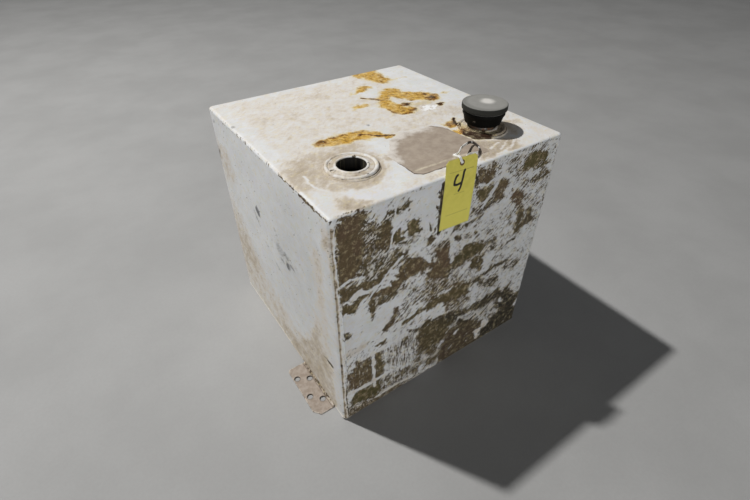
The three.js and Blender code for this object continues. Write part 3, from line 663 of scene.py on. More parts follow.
def built(name, points, faces, face_map, sharp=35):
    """A closed mesh with its faces pointing out, smooth but for edges sharper than sharp.
    face_map tells where each vertex lies on its own unrolled face, in metres."""
    mesh = bpy.data.meshes.new(name)
    mesh.from_pydata([tuple(map(float, p)) for p in points], [], faces)
    form = bmesh.new()
    form.from_mesh(mesh)
    bmesh.ops.recalc_face_normals(form, faces=form.faces)
    form.to_mesh(mesh)
    form.free()
    mesh.polygons.foreach_set("use_smooth", [True] * len(mesh.polygons))
    mesh.set_sharp_from_angle(angle=math.radians(sharp))
    index = np.empty(len(mesh.loops), np.int32)
    mesh.loops.foreach_get("vertex_index", index)
    layer = mesh.uv_layers.new(name="face")
    layer.data.foreach_set("uv", np.asarray(face_map, np.float32)[index].ravel())
    return linked(name, mesh)


def linked(name, data):
    """A new object in the scene that holds the data."""
    obj = bpy.data.objects.new(name, data)
    bpy.context.scene.collection.objects.link(obj)
    return obj


def dress(obj, node, material, body="tank"):
    """Lets a piece stand for a CAD node, on its body and with its finish."""
    obj.data.materials.append(material)
    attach(obj, body)
    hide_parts(node)


def grid_within(loops, step):
    """Points on a square grid inside the first loop, outside the others and clear of all."""
    low, high = loops[0].min(0), loops[0].max(0)
    count = np.maximum(1, np.round((high - low) / step)).astype(int)
    xs = np.linspace(low[0], high[0], count[0] + 1)[1:-1]
    ys = np.linspace(low[1], high[1], count[1] + 1)[1:-1]
    grid = np.stack(np.meshgrid(xs, ys, indexing="ij"), -1).reshape(-1, 2)
    grid = grid[inside_area(grid, loops)]
    edge = np.vstack(loops)
    tree = KDTree(len(edge))
    for i, (x, y) in enumerate(edge):
        tree.insert((x, y, 0), i)
    tree.balance()
    clear = [tree.find((x, y, 0))[2] > 0.55 * step for x, y in grid]
    return grid[np.array(clear, bool)]


def triangulated(loops, inner):
    """Triangles over the area inside the first loop and outside the others.
    Returns the points, the triangles, and each loop's points in order."""
    points = np.vstack([*loops, inner])
    edges, spans, start = [], [], 0
    for loop in loops:
        count = len(loop)
        edges += [(start + i, start + (i + 1) % count) for i in range(count)]
        spans.append(range(start, start + count))
        start += count
    found = delaunay_2d_cdt([Vector(p) for p in points], edges, [], 0, 1e-9, True)
    where = np.array([tuple(p) for p in found[0]])
    faces = np.array([tuple(f) for f in found[2]])
    keep = inside_area(where[faces].mean(1), loops)
    now = {old: new for new, olds in enumerate(found[3]) for old in olds}
    return where, faces[keep].tolist(), [[now[i] for i in span] for span in spans]


def two_sided(name, loops, inner, back_inner, place, thickness, unit=1):
    """A sheet cut to the first loop, with the others as holes, and inner points on each side.
    place(points, depth) gives where flat points lie, from depth 0 on the outer side to
    thickness on the inner. Returns the object, its flat points and the first inner one."""
    front, back = triangulated(loops, inner), triangulated(loops, back_inner)
    shift = len(front[0])
    points = np.vstack([place(front[0], 0.0), place(back[0], thickness)])
    faces = front[1] + [[shift + i for i in reversed(face)] for face in back[1]]
    for near, far in zip(front[2], back[2]):
        for i in range(len(near)):
            j = (i + 1) % len(near)
            faces.append([shift + far[i], shift + far[j], near[j], near[i]])
    flat = np.vstack([front[0], back[0]])
    return built(name, points, faces, flat * unit), flat, shift


def plate(name, loops, step, place, thickness, unit=1):
    """A sheet that is equally fine on both sides. Returns the object and its flat points."""
    loops = [np.array(loop, float) for loop in loops]
    inner = grid_within(loops, step)
    return two_sided(name, loops, inner, inner, place, thickness, unit)[:2]


def circle(x, y, radius, count):
    """Clockwise outline of a round hole."""
    turns = np.arange(count) / count * 2 * math.pi
    return np.stack([x + radius * np.cos(-turns), y + radius * np.sin(-turns)], -1)


def divided(corners, step, least=2):
    """Closed outline through the corners, with a point about every step."""
    outline = []
    for (ax, ay), (bx, by) in zip(corners, corners[1:] + corners[:1]):
        pieces = max(least, round(math.dist((ax, ay), (bx, by)) / step))
        outline += [(ax + (bx - ax) * i / pieces, ay + (by - ay) * i / pieces) for i in range(pieces)]
    return outline


def run_along(points):
    """Distance along a line up to each of its points."""
    return np.concatenate([[0], np.cumsum(np.linalg.norm(np.diff(points, axis=0), axis=1))])


def rounded_rectangle(half_width, half_depth, radius, step):
    """Counter-clockwise outline about the origin."""
    points = []
    turns = max(3, round(radius * math.pi / 2 / step) + 2)
    for quarter, (sx, sy) in enumerate(((1, -1), (1, 1), (-1, 1), (-1, -1))):
        centre = Vector((sx * (half_width - radius), sy * (half_depth - radius)))
        for i in range(turns + 1):
            angle = math.radians(-90 + 90 * quarter + 90 * i / turns)
            points.append((centre.x + radius * math.cos(angle), centre.y + radius * math.sin(angle)))
    return np.array(divided(points, step, 1))


def straight(start, end, step):
    """Points and outward directions from start up to, but not at, the end."""
    count = max(1, round(math.dist(start, end) / step))
    along = (np.array(end) - np.array(start)) / math.dist(start, end)
    points = np.array(start) + np.arange(count)[:, None] / count * math.dist(start, end) * along
    return points, np.tile([along[1], -along[0]], (count, 1))


def bend(centre, start, end, count):
    """Points and outward directions round a corner, up to but not at the end angle."""
    angles = np.radians(start + (end - start) * np.arange(count) / count)
    out = np.stack([np.cos(angles), np.sin(angles)], -1)
    return np.array(centre) + CORNER_RADIUS * out, out


def wall_path(wall, step):
    """Plan of a wall, counter-clockwise round the tank: points and outward directions."""
    if wall in ("front_wall", "rear_wall"):
        runs = [straight((-SEAM_X, -HALF_DEPTH), (SEAM_X, -HALF_DEPTH), step)]
        last = (SEAM_X, -HALF_DEPTH)
    else:
        x, y = HALF_WIDTH - CORNER_RADIUS, HALF_DEPTH - CORNER_RADIUS
        runs = [
            straight((-SEAM_X, HALF_DEPTH), (-x, HALF_DEPTH), 1.5 * MM),
            bend((-x, y), 90, 180, 10),
            straight((-HALF_WIDTH, y), (-HALF_WIDTH, -y), step),
            bend((-x, -y), 180, 270, 10),
            straight((-x, -HALF_DEPTH), (-SEAM_X, -HALF_DEPTH), 1.5 * MM),
        ]
        last = (-SEAM_X, -HALF_DEPTH)
    points = np.vstack([run[0] for run in runs] + [last])
    out = np.vstack([run[1] for run in runs] + [runs[-1][1][-1]])
    if wall in ("rear_wall", "right_wall"):
        return -points, -out
    return points, out


def dished(p, q, half_p, low_q, high_q, bulge, seed):
    """How far a thin sheet stands out: a slight belly and waves, none at its edges."""
    flat_rim = 26 * MM
    edge = np.minimum(half_p - np.abs(p), np.minimum(q - low_q, high_q - q))
    hold = smooth(edge, 0, flat_rim)
    middle, half_q = (low_q + high_q) / 2, (high_q - low_q) / 2
    belly = np.cos(p / half_p * math.pi / 2) * np.cos((q - middle) / half_q * math.pi / 2)
    waves = lattice_noise(p + 5, q + 5, 110 * MM, seed)
    waves += 0.4 * lattice_noise(p + 5, q + 5, 40 * MM, seed + 1)
    return hold * (bulge * belly + WAVE_HEIGHT * waves)


def crease(y, z):
    """The dent near the foot of the left wall, with its sharp upper lip."""
    middle_y, half_length = -254 * MM, 30 * MM
    middle_z, half_height = 170 * MM, 16 * MM
    depth = 2.2 * MM
    u, v = (y - middle_y) / half_length, (z - middle_z) / half_height
    fall = np.where(v > 0, smooth(v, 0.62, 0.2), smooth(v, -1, 0))
    return -depth * smooth(np.abs(u), 1, 0.3) * fall


def wall(node, step, bulge, seed):
    """One wall sheet, fine outside and plain inside, and its first inner point."""
    path, out = wall_path(node, step)
    heights = np.linspace(LOW_SEAM, HIGH_SEAM, round((HIGH_SEAM - LOW_SEAM) / step) + 1)
    columns, rows = len(path), len(heights)
    run = run_along(path)
    plan, z = np.repeat(path, rows, 0), np.tile(heights, columns)
    if node in ("front_wall", "rear_wall"):
        half, across = SEAM_X, plan[:, 0]
    else:
        half, across = HALF_DEPTH - CORNER_RADIUS, plan[:, 1]
    stand = dished(across, z, half, LOW_SEAM, HIGH_SEAM, bulge, seed)
    if node == "left_wall":
        stand = stand + crease(across, z)
    if node == "front_wall":
        # The sheet is level behind the card tag
        behind = smooth(np.abs(across / MM - TAG_FOLD.x), 78, 50) * smooth(z / MM, 430, 470)
        stand = stand * (1 - behind)
    outer = np.column_stack([plan + np.repeat(out, rows, 0) * stand[:, None], z])
    within = path - out * SHEET
    inner = np.column_stack([np.repeat(within, 2, 0), np.tile([LOW_SEAM, HIGH_SEAM], columns)])
    base = columns * rows
    faces = []
    for i in range(columns - 1):
        a, b = i * rows, (i + 1) * rows
        faces += [[a + j, b + j, b + j + 1, a + j + 1] for j in range(rows - 1)]
        c, d = base + 2 * i, base + 2 * (i + 1)
        faces.append([c, c + 1, d + 1, d])
        faces.append([a, c, d, b])
        faces.append([a + rows - 1, b + rows - 1, d + 1, c + 1])
    last = (columns - 1) * rows
    faces.append([*range(rows), base + 1, base])
    faces.append([*range(last + rows - 1, last - 1, -1), base + 2 * (columns - 1),
                  base + 2 * (columns - 1) + 1])
    outer_map = np.column_stack([np.repeat(run, rows), z])
    inner_map = np.column_stack([np.repeat(run, 2), inner[:, 2]])
    face_map = np.vstack([outer_map, inner_map])
    return built(f"{node}_sheet", np.vstack([outer, inner]), faces, face_map), base


def top_wave(p, q):
    """How far the top sheet stands up or sags, level at its edges and round its openings."""
    still = np.ones(np.shape(p))
    for axis in (PUMP_AXIS, FILL_AXIS):
        still = still * smooth(np.hypot(p - axis.x, q - axis.y), 62 * MM, 110 * MM)
    return still * dished(p, q, HALF_WIDTH - EDGE_RADIUS, -HALF_DEPTH + EDGE_RADIUS,
                          HALF_DEPTH - EDGE_RADIUS, -0.8 * MM, 5)


def pan(node, sign, step, holes):
    """Top (sign 1) or bottom (sign -1) sheet with its edge bent over to the seam, and its
    first inner point."""
    flat_x, flat_y = HALF_WIDTH - CORNER_RADIUS, HALF_DEPTH - CORNER_RADIUS
    start = CORNER_RADIUS - EDGE_RADIUS
    arc = EDGE_RADIUS * math.pi / 2
    rim = LOW_SEAM - EDGE_RADIUS

    def place(points, depth):
        beyond = np.abs(points) - (flat_x, flat_y)
        reach = np.maximum(beyond, 0)
        distance = np.hypot(reach[:, 0], reach[:, 1])
        way = reach / np.maximum(distance, 1e-12)[:, None] * np.sign(points)
        over = np.maximum(distance - start, 0)
        angle = np.minimum(over / EDGE_RADIUS, math.pi / 2)
        radius = EDGE_RADIUS - depth
        flat = np.clip(points, (-flat_x, -flat_y), (flat_x, flat_y))
        inward = np.minimum(distance, start)[:, None] * way
        xy = np.where(over[:, None] > 0, flat + way * start + way * (radius * np.sin(angle))[:, None],
                      flat + inward)
        drop = EDGE_RADIUS - radius * np.cos(angle) + np.maximum(over - arc, 0)
        wave = top_wave(xy[:, 0], xy[:, 1]) if sign > 0 else 0
        height = TOP - drop + wave if sign > 0 else drop
        return np.column_stack([xy, height])

    grow = arc + rim
    outline = rounded_rectangle(flat_x + start + grow, flat_y + start + grow, start + grow, step)
    rings = [rounded_rectangle(flat_x + start + at, flat_y + start + at, start + at, step)
             for at in np.linspace(0, arc, 7)]
    hole_radius = (SKIRT_RADIUS + 0.5) * MM
    loops = [outline] + [circle(axis.x, axis.y, hole_radius, 96) for axis in holes]
    inner = grid_within([rings[0]] + loops[1:], step)
    obj, _, first_inner = two_sided(f"{node}_pan", loops, np.vstack([inner, *rings]), np.vstack(rings),
                                    place, SHEET)
    return obj, first_inner


def rounded(profile, radius, closed=True, steps=4):
    """The profile with its corners eased over about the given radius."""
    points = [Vector(p) for p in profile]
    eased = []
    for i, point in enumerate(points):
        if not closed and i in (0, len(points) - 1):
            eased.append(tuple(point))
            continue
        before, after = points[i - 1], points[(i + 1) % len(points)]
        cut = min(radius, 0.42 * (point - before).length, 0.42 * (point - after).length)
        a = point + (before - point).normalized() * cut
        b = point + (after - point).normalized() * cut
        for t in np.linspace(0, 1, steps):
            eased.append(tuple(a * (1 - t) ** 2 + point * 2 * t * (1 - t) + b * t ** 2))
    return eased


def lathe(name, profile, axis, segments, shape=None, tilt=None):
    """Turns a profile of (radius, height) in millimetres about an upright axis. A profile
    that starts and ends on the axis makes a disc, any other one a ring."""
    profile = np.array(profile, float) * MM
    disc = profile[0, 0] < 1e-9 and profile[-1, 0] < 1e-9
    turns = np.arange(segments) / segments * 2 * math.pi
    ring = profile[1:-1] if disc else profile
    angle, radius = np.meshgrid(turns, ring[:, 0], indexing="ij")
    height = np.tile(ring[:, 1], (segments, 1))
    if shape:
        radius, height = shape(angle, radius, height)
    points = np.stack([radius * np.cos(angle), radius * np.sin(angle), height], -1).reshape(-1, 3)
    rows = len(ring)
    faces = []
    for i in range(segments):
        a, b = i * rows, (i + 1) % segments * rows
        for j in range(rows - 1 if disc else rows):
            k = (j + 1) % rows
            faces.append([a + j, b + j, b + k, a + k])
    if disc:
        low, high = len(points), len(points) + 1
        points = np.vstack([points, [0, 0, profile[0, 1]], [0, 0, profile[-1, 1]]])
        for i in range(segments):
            a, b = i * rows, (i + 1) % segments * rows
            faces.append([low, b, a])
            faces.append([a + rows - 1, b + rows - 1, high])
    if tilt is not None:
        points = points @ np.array(tilt.to_3x3()).T
    points = points + np.array(axis)
    return built(name, points, faces, points[:, :2])


def swept(name, centres, sides, ups, section, closed=False, sharp=35):
    """Sweeps a closed section of (across, up) pairs, in metres, along a line of centres.
    Across, up and the section are either the same all along, or given for each centre."""
    count, rows = len(centres), section.shape[-2]
    sides, ups = (np.broadcast_to(way, (count, 3)) for way in (sides, ups))
    section = np.broadcast_to(section, (count, rows, 2))
    points = (centres[:, None] + section[:, :, 0, None] * sides[:, None]
              + section[:, :, 1, None] * ups[:, None]).reshape(-1, 3)
    faces = []
    for i in range(count if closed else count - 1):
        a, b = i * rows, (i + 1) % count * rows
        faces += [[a + j, a + (j + 1) % rows, b + (j + 1) % rows, b + j] for j in range(rows)]
    if not closed:
        faces.append(list(range(rows)))
        faces.append(list(range((count - 1) * rows, count * rows)))
    round_it = np.linspace(0, 10 * MM, rows)
    face_map = np.column_stack([np.repeat(run_along(centres), rows), np.tile(round_it, count)])
    return built(name, points, faces, face_map, sharp)


def bead_sections(run, width, height, ripple, seed, section=None):
    """Weld sections along a run, half-round unless one is given, with ripples and an
    uneven width."""
    if section is None:
        turns = np.linspace(0, math.pi, 9)
        section = list(zip(np.cos(turns), np.sin(turns)))
    wave = 1 - ripple * np.abs(np.sin(run / RIPPLE_PITCH * math.pi)) ** 3
    wide = 1 + 0.12 * lattice_noise(run, run * 0, 12 * MM, seed)
    tall = wave * (1 + 0.16 * lattice_noise(run, run * 0 + 1, 9 * MM, seed))
    return np.array(section)[None] * np.stack([width * wide, height * tall], -1)[:, None]


def seam_bead(node, x, facing):
    """Upright bead between a side wall's return and the front or rear wall."""
    z = np.arange(LOW_SEAM + BEAD_WIDTH, HIGH_SEAM - BEAD_WIDTH, BEAD_STEP)
    wander = 0.25 * MM * lattice_noise(z, z * 0, 20 * MM, 3)
    centres = np.column_stack([x + wander, np.full(len(z), facing * HALF_DEPTH), z])
    sections = bead_sections(z, BEAD_WIDTH / 2, BEAD_HEIGHT, 0.25, 17)
    return swept(f"{node}_bead", centres, (1, 0, 0), (0, facing, 0), sections)


def bottom_bead(node):
    """Bead round the bottom seam, between the depths of its CAD node."""
    low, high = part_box(node)
    outline = rounded_rectangle(HALF_WIDTH, HALF_DEPTH, CORNER_RADIUS, 1.6 * MM)
    front = node.startswith("front")
    keep = outline[:, 1] < high.y if front else outline[:, 1] > low.y
    first = int(np.argmax(keep & ~np.roll(keep, 1)))
    line = np.roll(outline, -first, 0)[:int(keep.sum())]
    along = np.gradient(line, axis=0)
    along /= np.linalg.norm(along, axis=1)[:, None]
    out = np.column_stack([along[:, 1], -along[:, 0], np.zeros(len(line))])
    sections = bead_sections(run_along(line), BEAD_WIDTH / 2, BOTTOM_BEAD_HEIGHT, 0.25, 23)
    centres = np.column_stack([line, np.full(len(line), LOW_SEAM)])
    return swept(f"{node}_bead", centres, (0, 0, 1), out, sections)


def flange_profile():
    """Outside of a threaded tank flange, from its skirt's foot up over the ring and the lip."""
    edge, bore = FLANGE_RADIUS, BORE
    return [
        (bore, -SKIRT_LENGTH), (SKIRT_RADIUS, -SKIRT_LENGTH), (SKIRT_RADIUS, 0), (edge, 0),
        (edge, 4.2), (edge - 1.4, 6.5), (edge - 4, 7.2), (edge - 6.4, 6.4), (edge - 7.6, 4.6),
        (edge - 8.8, 4.6), (edge - 9.8, LAND_HEIGHT), (bore + 6, LAND_HEIGHT), (bore + 5, 7.3),
        (bore + 2.6, 8.2), (bore + 0.8, 7.7), (bore, 6.4),
    ]


def threaded(wall_radius, low, high, outward=False):
    """Bends the wall at one radius into a screw thread between two heights, in millimetres."""
    def shape(angle, radius, height):
        on_wall = np.abs(radius - wall_radius * MM) < 0.02 * MM
        turn = height / (THREAD_PITCH * MM) + angle / (2 * math.pi)
        tooth = np.abs((turn % 1) * 2 - 1)
        ends = smooth(height, low * MM, (low + 2) * MM) * smooth(height, high * MM, (high - 2) * MM)
        cut = THREAD_DEPTH * MM * tooth * ends
        return np.where(on_wall, radius - cut if outward else radius + cut, radius), height
    return shape


LIP_NOTCH = math.radians(49)
# Chips in the paint of both flanges: angle in degrees, distance from the axis, half width
NICKS = ((49, BORE + 3, 3.8), (-27, BORE + 2.5, 1.6), (176, 46, 2.2), (-84, 51, 1.6), (-170, 40, 1.2))


def flange(node, axis):
    """Flange ring with a threaded bore and an uneven outside. The pump's has a notched lip."""
    profile = rounded(flange_profile(), 0.8, closed=False, steps=3)
    profile += [(BORE, h) for h in np.arange(5.9, -SKIRT_LENGTH + 0.6, -THREAD_STEP)]
    uneven = threaded(BORE, -SKIRT_LENGTH + 1, 5)

    def shape(angle, radius, height):
        radius, height = uneven(angle, radius, height)
        outside = smooth(radius, (BORE + 1) * MM, (BORE + 4) * MM) * (height > 1 * MM)
        ripple = lattice_noise(angle * 0.02 + radius, radius + height, 4.5 * MM, 9)
        height = height + 0.22 * MM * ripple * outside
        if axis is PUMP_AXIS:
            on_lip = smooth(radius, (BORE + 6) * MM, (BORE + 3) * MM) * (height > 5.5 * MM)
            turned = np.abs((angle - LIP_NOTCH + math.pi) % (2 * math.pi) - math.pi)
            height = height - 2.0 * MM * on_lip * smooth(turned, 0.12, 0.04)
        return radius, height

    return lathe(f"{node}_ring", profile, axis, 160, shape)


def flange_wear(axis):
    """Black bore, bright lip and outer ring, and a rough grey land between them. The bore's
    black is painted shade, and the lip and ring are partly a painted highlight. The filler
    flange is dustier, with an amber stain at its left and grime at its right, partly painted
    shade."""
    def change(levels, x, y, z):
        x, y, z = x - axis.x / MM, y - axis.y / MM, z - axis.z / MM
        radius = np.hypot(x, y)
        mottle = lattice_noise(x, y, 5, 91)
        right = smooth(x - 0.5 * y + 6 * mottle, -20, 12)
        lip = smooth(radius, BORE + 6.2, BORE + 4.6)
        ring = smooth(radius, FLANGE_RADIUS - 9.5, FLANGE_RADIUS - 7.5)
        bright = np.maximum(lip, ring)
        land = (1 - bright) * (radius > BORE)
        dust = (0.84 if axis is FILL_AXIS else 0.66) + 0.2 * mottle
        # Lip and ring less dusty, more so on the right: partly a painted highlight where the ridges
        # catch the light
        levels["dirt"] = dust - bright * (0.10 + 0.22 * right) + 0.1 * land
        levels["bare"] = -0.3 + land * 0.22 + 0.10 * mottle
        levels["soot"] = 0.55 + 0.2 * mottle
        levels["veil"] = land * (0.2 + 0.8 * right)
        if axis is FILL_AXIS:
            stained = smooth(x + 0.3 * y + 14 * mottle, -8, -34)
            levels["rust"] = 0.72 * stained
            levels["burnt"] = 0.60 * stained
            # Grime at the right, partly painted shade where the cap's shadow falls
            grime_and_shade = smooth(x - 0.9 * y + 10 * mottle, 22, 46) * smooth(radius, BORE + 4, BORE + 12)
            levels["dirt"] = levels["dirt"] + 0.6 * grime_and_shade
            levels["bare"] = levels["bare"] + 0.28 * grime_and_shade * (1 + mottle)
            scorched(levels, x, y, radius)
        for degrees, out, half in NICKS:
            at = math.radians(degrees)
            away = np.hypot(x - out * math.cos(at), y - out * math.sin(at))
            move(levels, smooth(away, half * 1.5, half * 0.7), bare=1.5, soot=0.9)
        # Inside the bore: near black, painted shade
        within = (radius < BORE + 1.6) & (z < 5.8)
        levels["bare"][within] = 1.6
        levels["soot"][within] = 1.35
    return change


def scorched(levels, x, y, radius):
    """Nearly black stain over the front left rim of the filler flange and its bead."""
    rim = smooth(radius, 41, 46) * smooth(radius, FLANGE_RADIUS + 8, FLANGE_RADIUS + 4)
    move(levels, rim * smooth(x, -16, -26) * smooth(y, -4, -14), rust=1.0, burnt=1.6)


def crevice(axis):
    """Dark crevice between a flange and its bead, towards the front right: painted shade."""
    def change(levels, x, y, z):
        x, y = x - axis.x / MM, y - axis.y / MM
        radius, angle = np.hypot(x, y), np.degrees(np.arctan2(y, x))
        close = smooth(radius, FLANGE_RADIUS + 2.6, FLANGE_RADIUS + 1.0)
        side = smooth(angle, -125, -80) * smooth(angle, 60, 15)
        move(levels, close * (0.35 + 0.65 * side), bare=1.3, soot=0.75)
        if axis is FILL_AXIS:
            scorched(levels, x, y, radius)
    return change


def flange_weld(node, axis, seed):
    """Fillet bead round a flange, with ripples."""
    inner, leg, count = (FLANGE_RADIUS - 0.2) * MM, 4.6 * MM, 260
    turns = np.arange(count) / count * 2 * math.pi
    out = np.column_stack([np.cos(turns), np.sin(turns), np.zeros(count)])
    centres = np.array(axis) + out * inner
    fillet = [(0, 0), (1, 0), (0.95, 0.18), (0.74, 0.46), (0.42, 0.72), (0.12, 0.86), (0, 0.88)]
    sections = bead_sections(turns * inner, leg, 4.0 * MM, 0.22, seed, fillet)
    return swept(f"{node}_bead", centres, out, (0, 0, 1), sections, closed=True)


# Foot plates

FOOT_THICKNESS = 4 * MM
FOOT_CHAMFER_ALONG = 18 * MM
FOOT_CHAMFER_ACROSS = 14 * MM
BOLT_HOLE_RADIUS = 7.5 * MM
# Each bolt hole's distance out from the wall, and its place along it, in millimetres
BOLT_HOLES = [(42.5, -131.7), (39.5, -199.4), (13.5, -147.7), (15, -223.2)]


def foot(node, side):
    """Bolt-down plate with an uneven face and distances to its edge, holes and wall."""
    low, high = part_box(node)
    inner, outer = HALF_WIDTH + 0.3 * MM, max(abs(low.x), abs(high.x))
    corners = [
        (inner, low.y), (outer - FOOT_CHAMFER_ACROSS, low.y), (outer, low.y + FOOT_CHAMFER_ALONG),
        (outer - 2 * MM, high.y - 6 * MM), (outer - 8 * MM, high.y), (inner, high.y),
    ]
    holes = [circle(HALF_WIDTH + out * MM, y * MM, BOLT_HOLE_RADIUS, 40) for out, y in BOLT_HOLES]

    def place(points, depth):
        worn = 0.35 * MM * lattice_noise(points[:, 0], points[:, 1], 12 * MM, 41)
        height = FOOT_THICKNESS - depth + (worn - 0.35 * MM if depth == 0 else 0)
        return np.column_stack([side * points[:, 0], points[:, 1], np.zeros(len(points)) + height])

    loops = [divided(corners, 3 * MM), *holes]
    obj, _ = plate(f"{node}_plate", loops, 2.0 * MM, place, FOOT_THICKNESS)
    x, y, _ = places(obj.data)
    out_from_wall = np.abs(x) - HALF_WIDTH / MM
    rim = [(px / MM, py / MM) for px, py in corners]
    channel(obj, "edge", distance_to_line(np.abs(x), y, rim))
    rings = [np.abs(np.hypot(out_from_wall - out, y - at) - BOLT_HOLE_RADIUS / MM)
             for out, at in BOLT_HOLES]
    channel(obj, "hole", np.min(rings, axis=0))
    channel(obj, "wall", out_from_wall)
    edges = obj.modifiers.new("edges", "BEVEL")
    edges.width = 0.7 * MM
    edges.segments = 2
    edges.limit_method = "ANGLE"
    edges.angle_limit = math.radians(50)
    return obj


def foot_weld(node, side):
    """Fillet bead between a foot plate and its wall."""
    low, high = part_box(node)
    y = np.arange(low.y, high.y, BEAD_STEP)
    count = len(y)
    centres = np.column_stack([np.full(count, side * HALF_WIDTH), y, np.full(count, FOOT_THICKNESS)])
    fillet = [(0, 0), (1, 0), (0.92, 0.22), (0.66, 0.56), (0.34, 0.86), (0, 1)]
    sections = bead_sections(y - low.y, 5 * MM, 6 * MM, 0.25, 29, fillet)
    return swept(f"{node}_bead", centres, (side, 0, 0), (0, 0, 1), sections)


# Screw cap, with heights above the tank's top in millimetres

NECK_RADIUS = 30.2
NECK_WALL = 4
NECK_TOP = 38
CAP_BORE = 32.2
CAP_RIM = 17
CAP_ROOF = 41.1


def neck():
    """Pipe neck with a thread outside."""
    inner = NECK_RADIUS - NECK_WALL
    profile = [(inner, -15), (NECK_RADIUS, -15)]
    profile += [(NECK_RADIUS, h) for h in np.arange(-14, NECK_TOP - 1.4, THREAD_STEP)]
    profile += [(NECK_RADIUS - 1.2, NECK_TOP - 0.1), (NECK_RADIUS - 1.6, NECK_TOP),
                (inner + 0.8, NECK_TOP), (inner, NECK_TOP - 0.8)]
    return lathe("fill_neck_pipe", profile, FILL_AXIS, 128,
                 threaded(NECK_RADIUS, 10, NECK_TOP - 1, outward=True))


def gasket():
    """Flat ring with eased edges."""
    low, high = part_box("cap_gasket")
    outer = (high.x - low.x) / 2 / MM
    bottom, top = (low.z - TOP) / MM, (high.z - TOP) / MM
    profile = rounded([(24.5, bottom), (outer, bottom), (outer, top), (24.5, top)], 0.6)
    return lathe("cap_gasket_ring", profile, FILL_AXIS, 96)


def cap_body():
    """Hollow cap whose skirt widens upwards to a band."""
    profile = [
        (0, CAP_ROOF), (CAP_BORE - 0.6, CAP_ROOF), (CAP_BORE, CAP_ROOF - 0.6),
        (CAP_BORE, CAP_RIM + 0.5), (CAP_BORE + 0.5, CAP_RIM), (40, CAP_RIM), (41, CAP_RIM + 1.2),
        (42.4, 23), (44.2, 30.5), (45.9, 36.2), (47.2, 37.1), (47.5, 38), (47.5, 44.8),
        (47.2, 45.7), (46.2, 46), (44.4, 46), (44, 46.4), (44, 47.4), (0, 47.4),
    ]
    obj = lathe("cap_body_shell", rounded(profile, 0.6, closed=False, steps=3), FILL_AXIS, 128)
    x, y, z = places(obj.data)
    x, y, z = x - FILL_AXIS.x / MM, y - FILL_AXIS.y / MM, z - FILL_AXIS.z / MM
    angle = np.degrees(np.arctan2(y, x)) % 360
    # Angle and height of each pale smear, a painted highlight on the skirt, and how far it spreads along
    # them
    smears = [(198, 28, 7, 4), (186, 42, 8, 2)]
    found = [smooth(np.hypot((angle - at) / wide, (z - height) / tall), 1.4, 0.4)
             for at, height, wide, tall in smears]
    channel(obj, "smear", np.max(found, axis=0))
    return obj


def cap_disc():
    """Slightly domed disc with a rounded edge."""
    profile = [
        (0, 47.5), (49.4, 47.5), (50.8, 48.6), (51, 51.5), (50.6, 59.4), (49.6, 60.5), (48.2, 60.9),
        (44, 61.15), (36.7, 61.6), (28, 61.95), (19.4, 62.2), (10.6, 62.4), (0, 62.5),
    ]
    obj = lathe("cap_disc_dome", rounded(profile, 1.0, closed=False), FILL_AXIS, 144)
    channel(obj, "smear", np.zeros(len(obj.data.vertices)))
    return obj


# Label

LABEL_THICKNESS = 0.4 * MM
LABEL_CORNERS = [(-90, -264), (-77, -277), (-15, -279), (103, -277), (111, -216), (106, -174),
                 (103, -131), (84, -108), (20, -101), (-4, -102), (-43, -117), (-62, -144), (-89, -175)]


def ragged_loop(corners, step, rough, seed):
    """A torn outline through the corners, counter-clockwise, in metres."""
    points = []
    for (ax, ay), (bx, by) in zip(corners, corners[1:] + corners[:1]):
        length = math.dist((ax, ay), (bx, by))
        pieces = max(2, round(length / step))
        for i in range(pieces):
            t = i / pieces
            x, y = ax + (bx - ax) * t, ay + (by - ay) * t
            out = ((by - ay) / length, (ax - bx) / length)
            noise = float(lattice_noise(np.array([x]), np.array([y]), 9, seed)[0])
            noise += 0.5 * float(lattice_noise(np.array([x]), np.array([y]), 3.1, seed + 1)[0])
            away = rough * (noise - 0.6)
            points.append(((x + out[0] * away) * MM, (y + out[1] * away) * MM))
    return points


def label():
    """Film with a torn outline that lies on the top sheet, rubbed, worn and faded in places."""
    def place(points, depth):
        x, y = points[:, 0], points[:, 1]
        wrinkle = 0.18 * MM * (1 + lattice_noise(x, y, 18 * MM, 7))
        lift = wrinkle if depth == 0 else 0
        # The wave of the sheet below carries the label, and its underside rests on it
        z = TOP + top_wave(x, y) + LABEL_THICKNESS - depth + lift
        return np.column_stack([x, y, z])

    loops = [ragged_loop(LABEL_CORNERS, 2.2, 1.5, 55)]
    obj, flat = plate("label_film", loops, 2.6 * MM, place, LABEL_THICKNESS)
    x, y = flat.T / MM
    rubbed, _, _ = stroke([(-78, -256), (-40, -257), (30, -259), (60, -260)], 5, soft=2)
    dark_rims = [[(-89, -176), (-90, -264), (-77, -277), (-20, -279)],
                 [(84, -108), (103, -131), (106, -168)]]
    faded_side = [(-90, -200), (-89, -175), (-62, -144), (-43, -117), (-4, -102), (20, -101),
                  (60, -105)]
    channel(obj, "strip", rubbed(x, y))
    rims = [smooth(distance_to_line(x, y, line), 5, 1) for line in dark_rims]
    channel(obj, "rim", np.max(rims, axis=0))
    channel(obj, "faded", smooth(distance_to_line(x, y, faded_side), 44, 0))
    return obj


# Card tag, its eyelet and tie. Places on the card are given in millimetres: across it,
# then along it from its fold over the tank's front edge, with down positive.

TAG_WIDTH = 79.4
TAG_LENGTH = 158.8
TAG_THICKNESS = 0.6 * MM
TAG_TWIST = math.radians(1.1)
TAG_TURN = math.radians(2.5)
TAG_LEAN = math.radians(5.5)
TAG_ABOVE_FOLD = 38
TAG_CORNER_CUT = 7
TAG_FOLD = Vector((-8.6, -311, 604))
TAG_FOLD_HALF = 7
EYELET_ALONG = -27


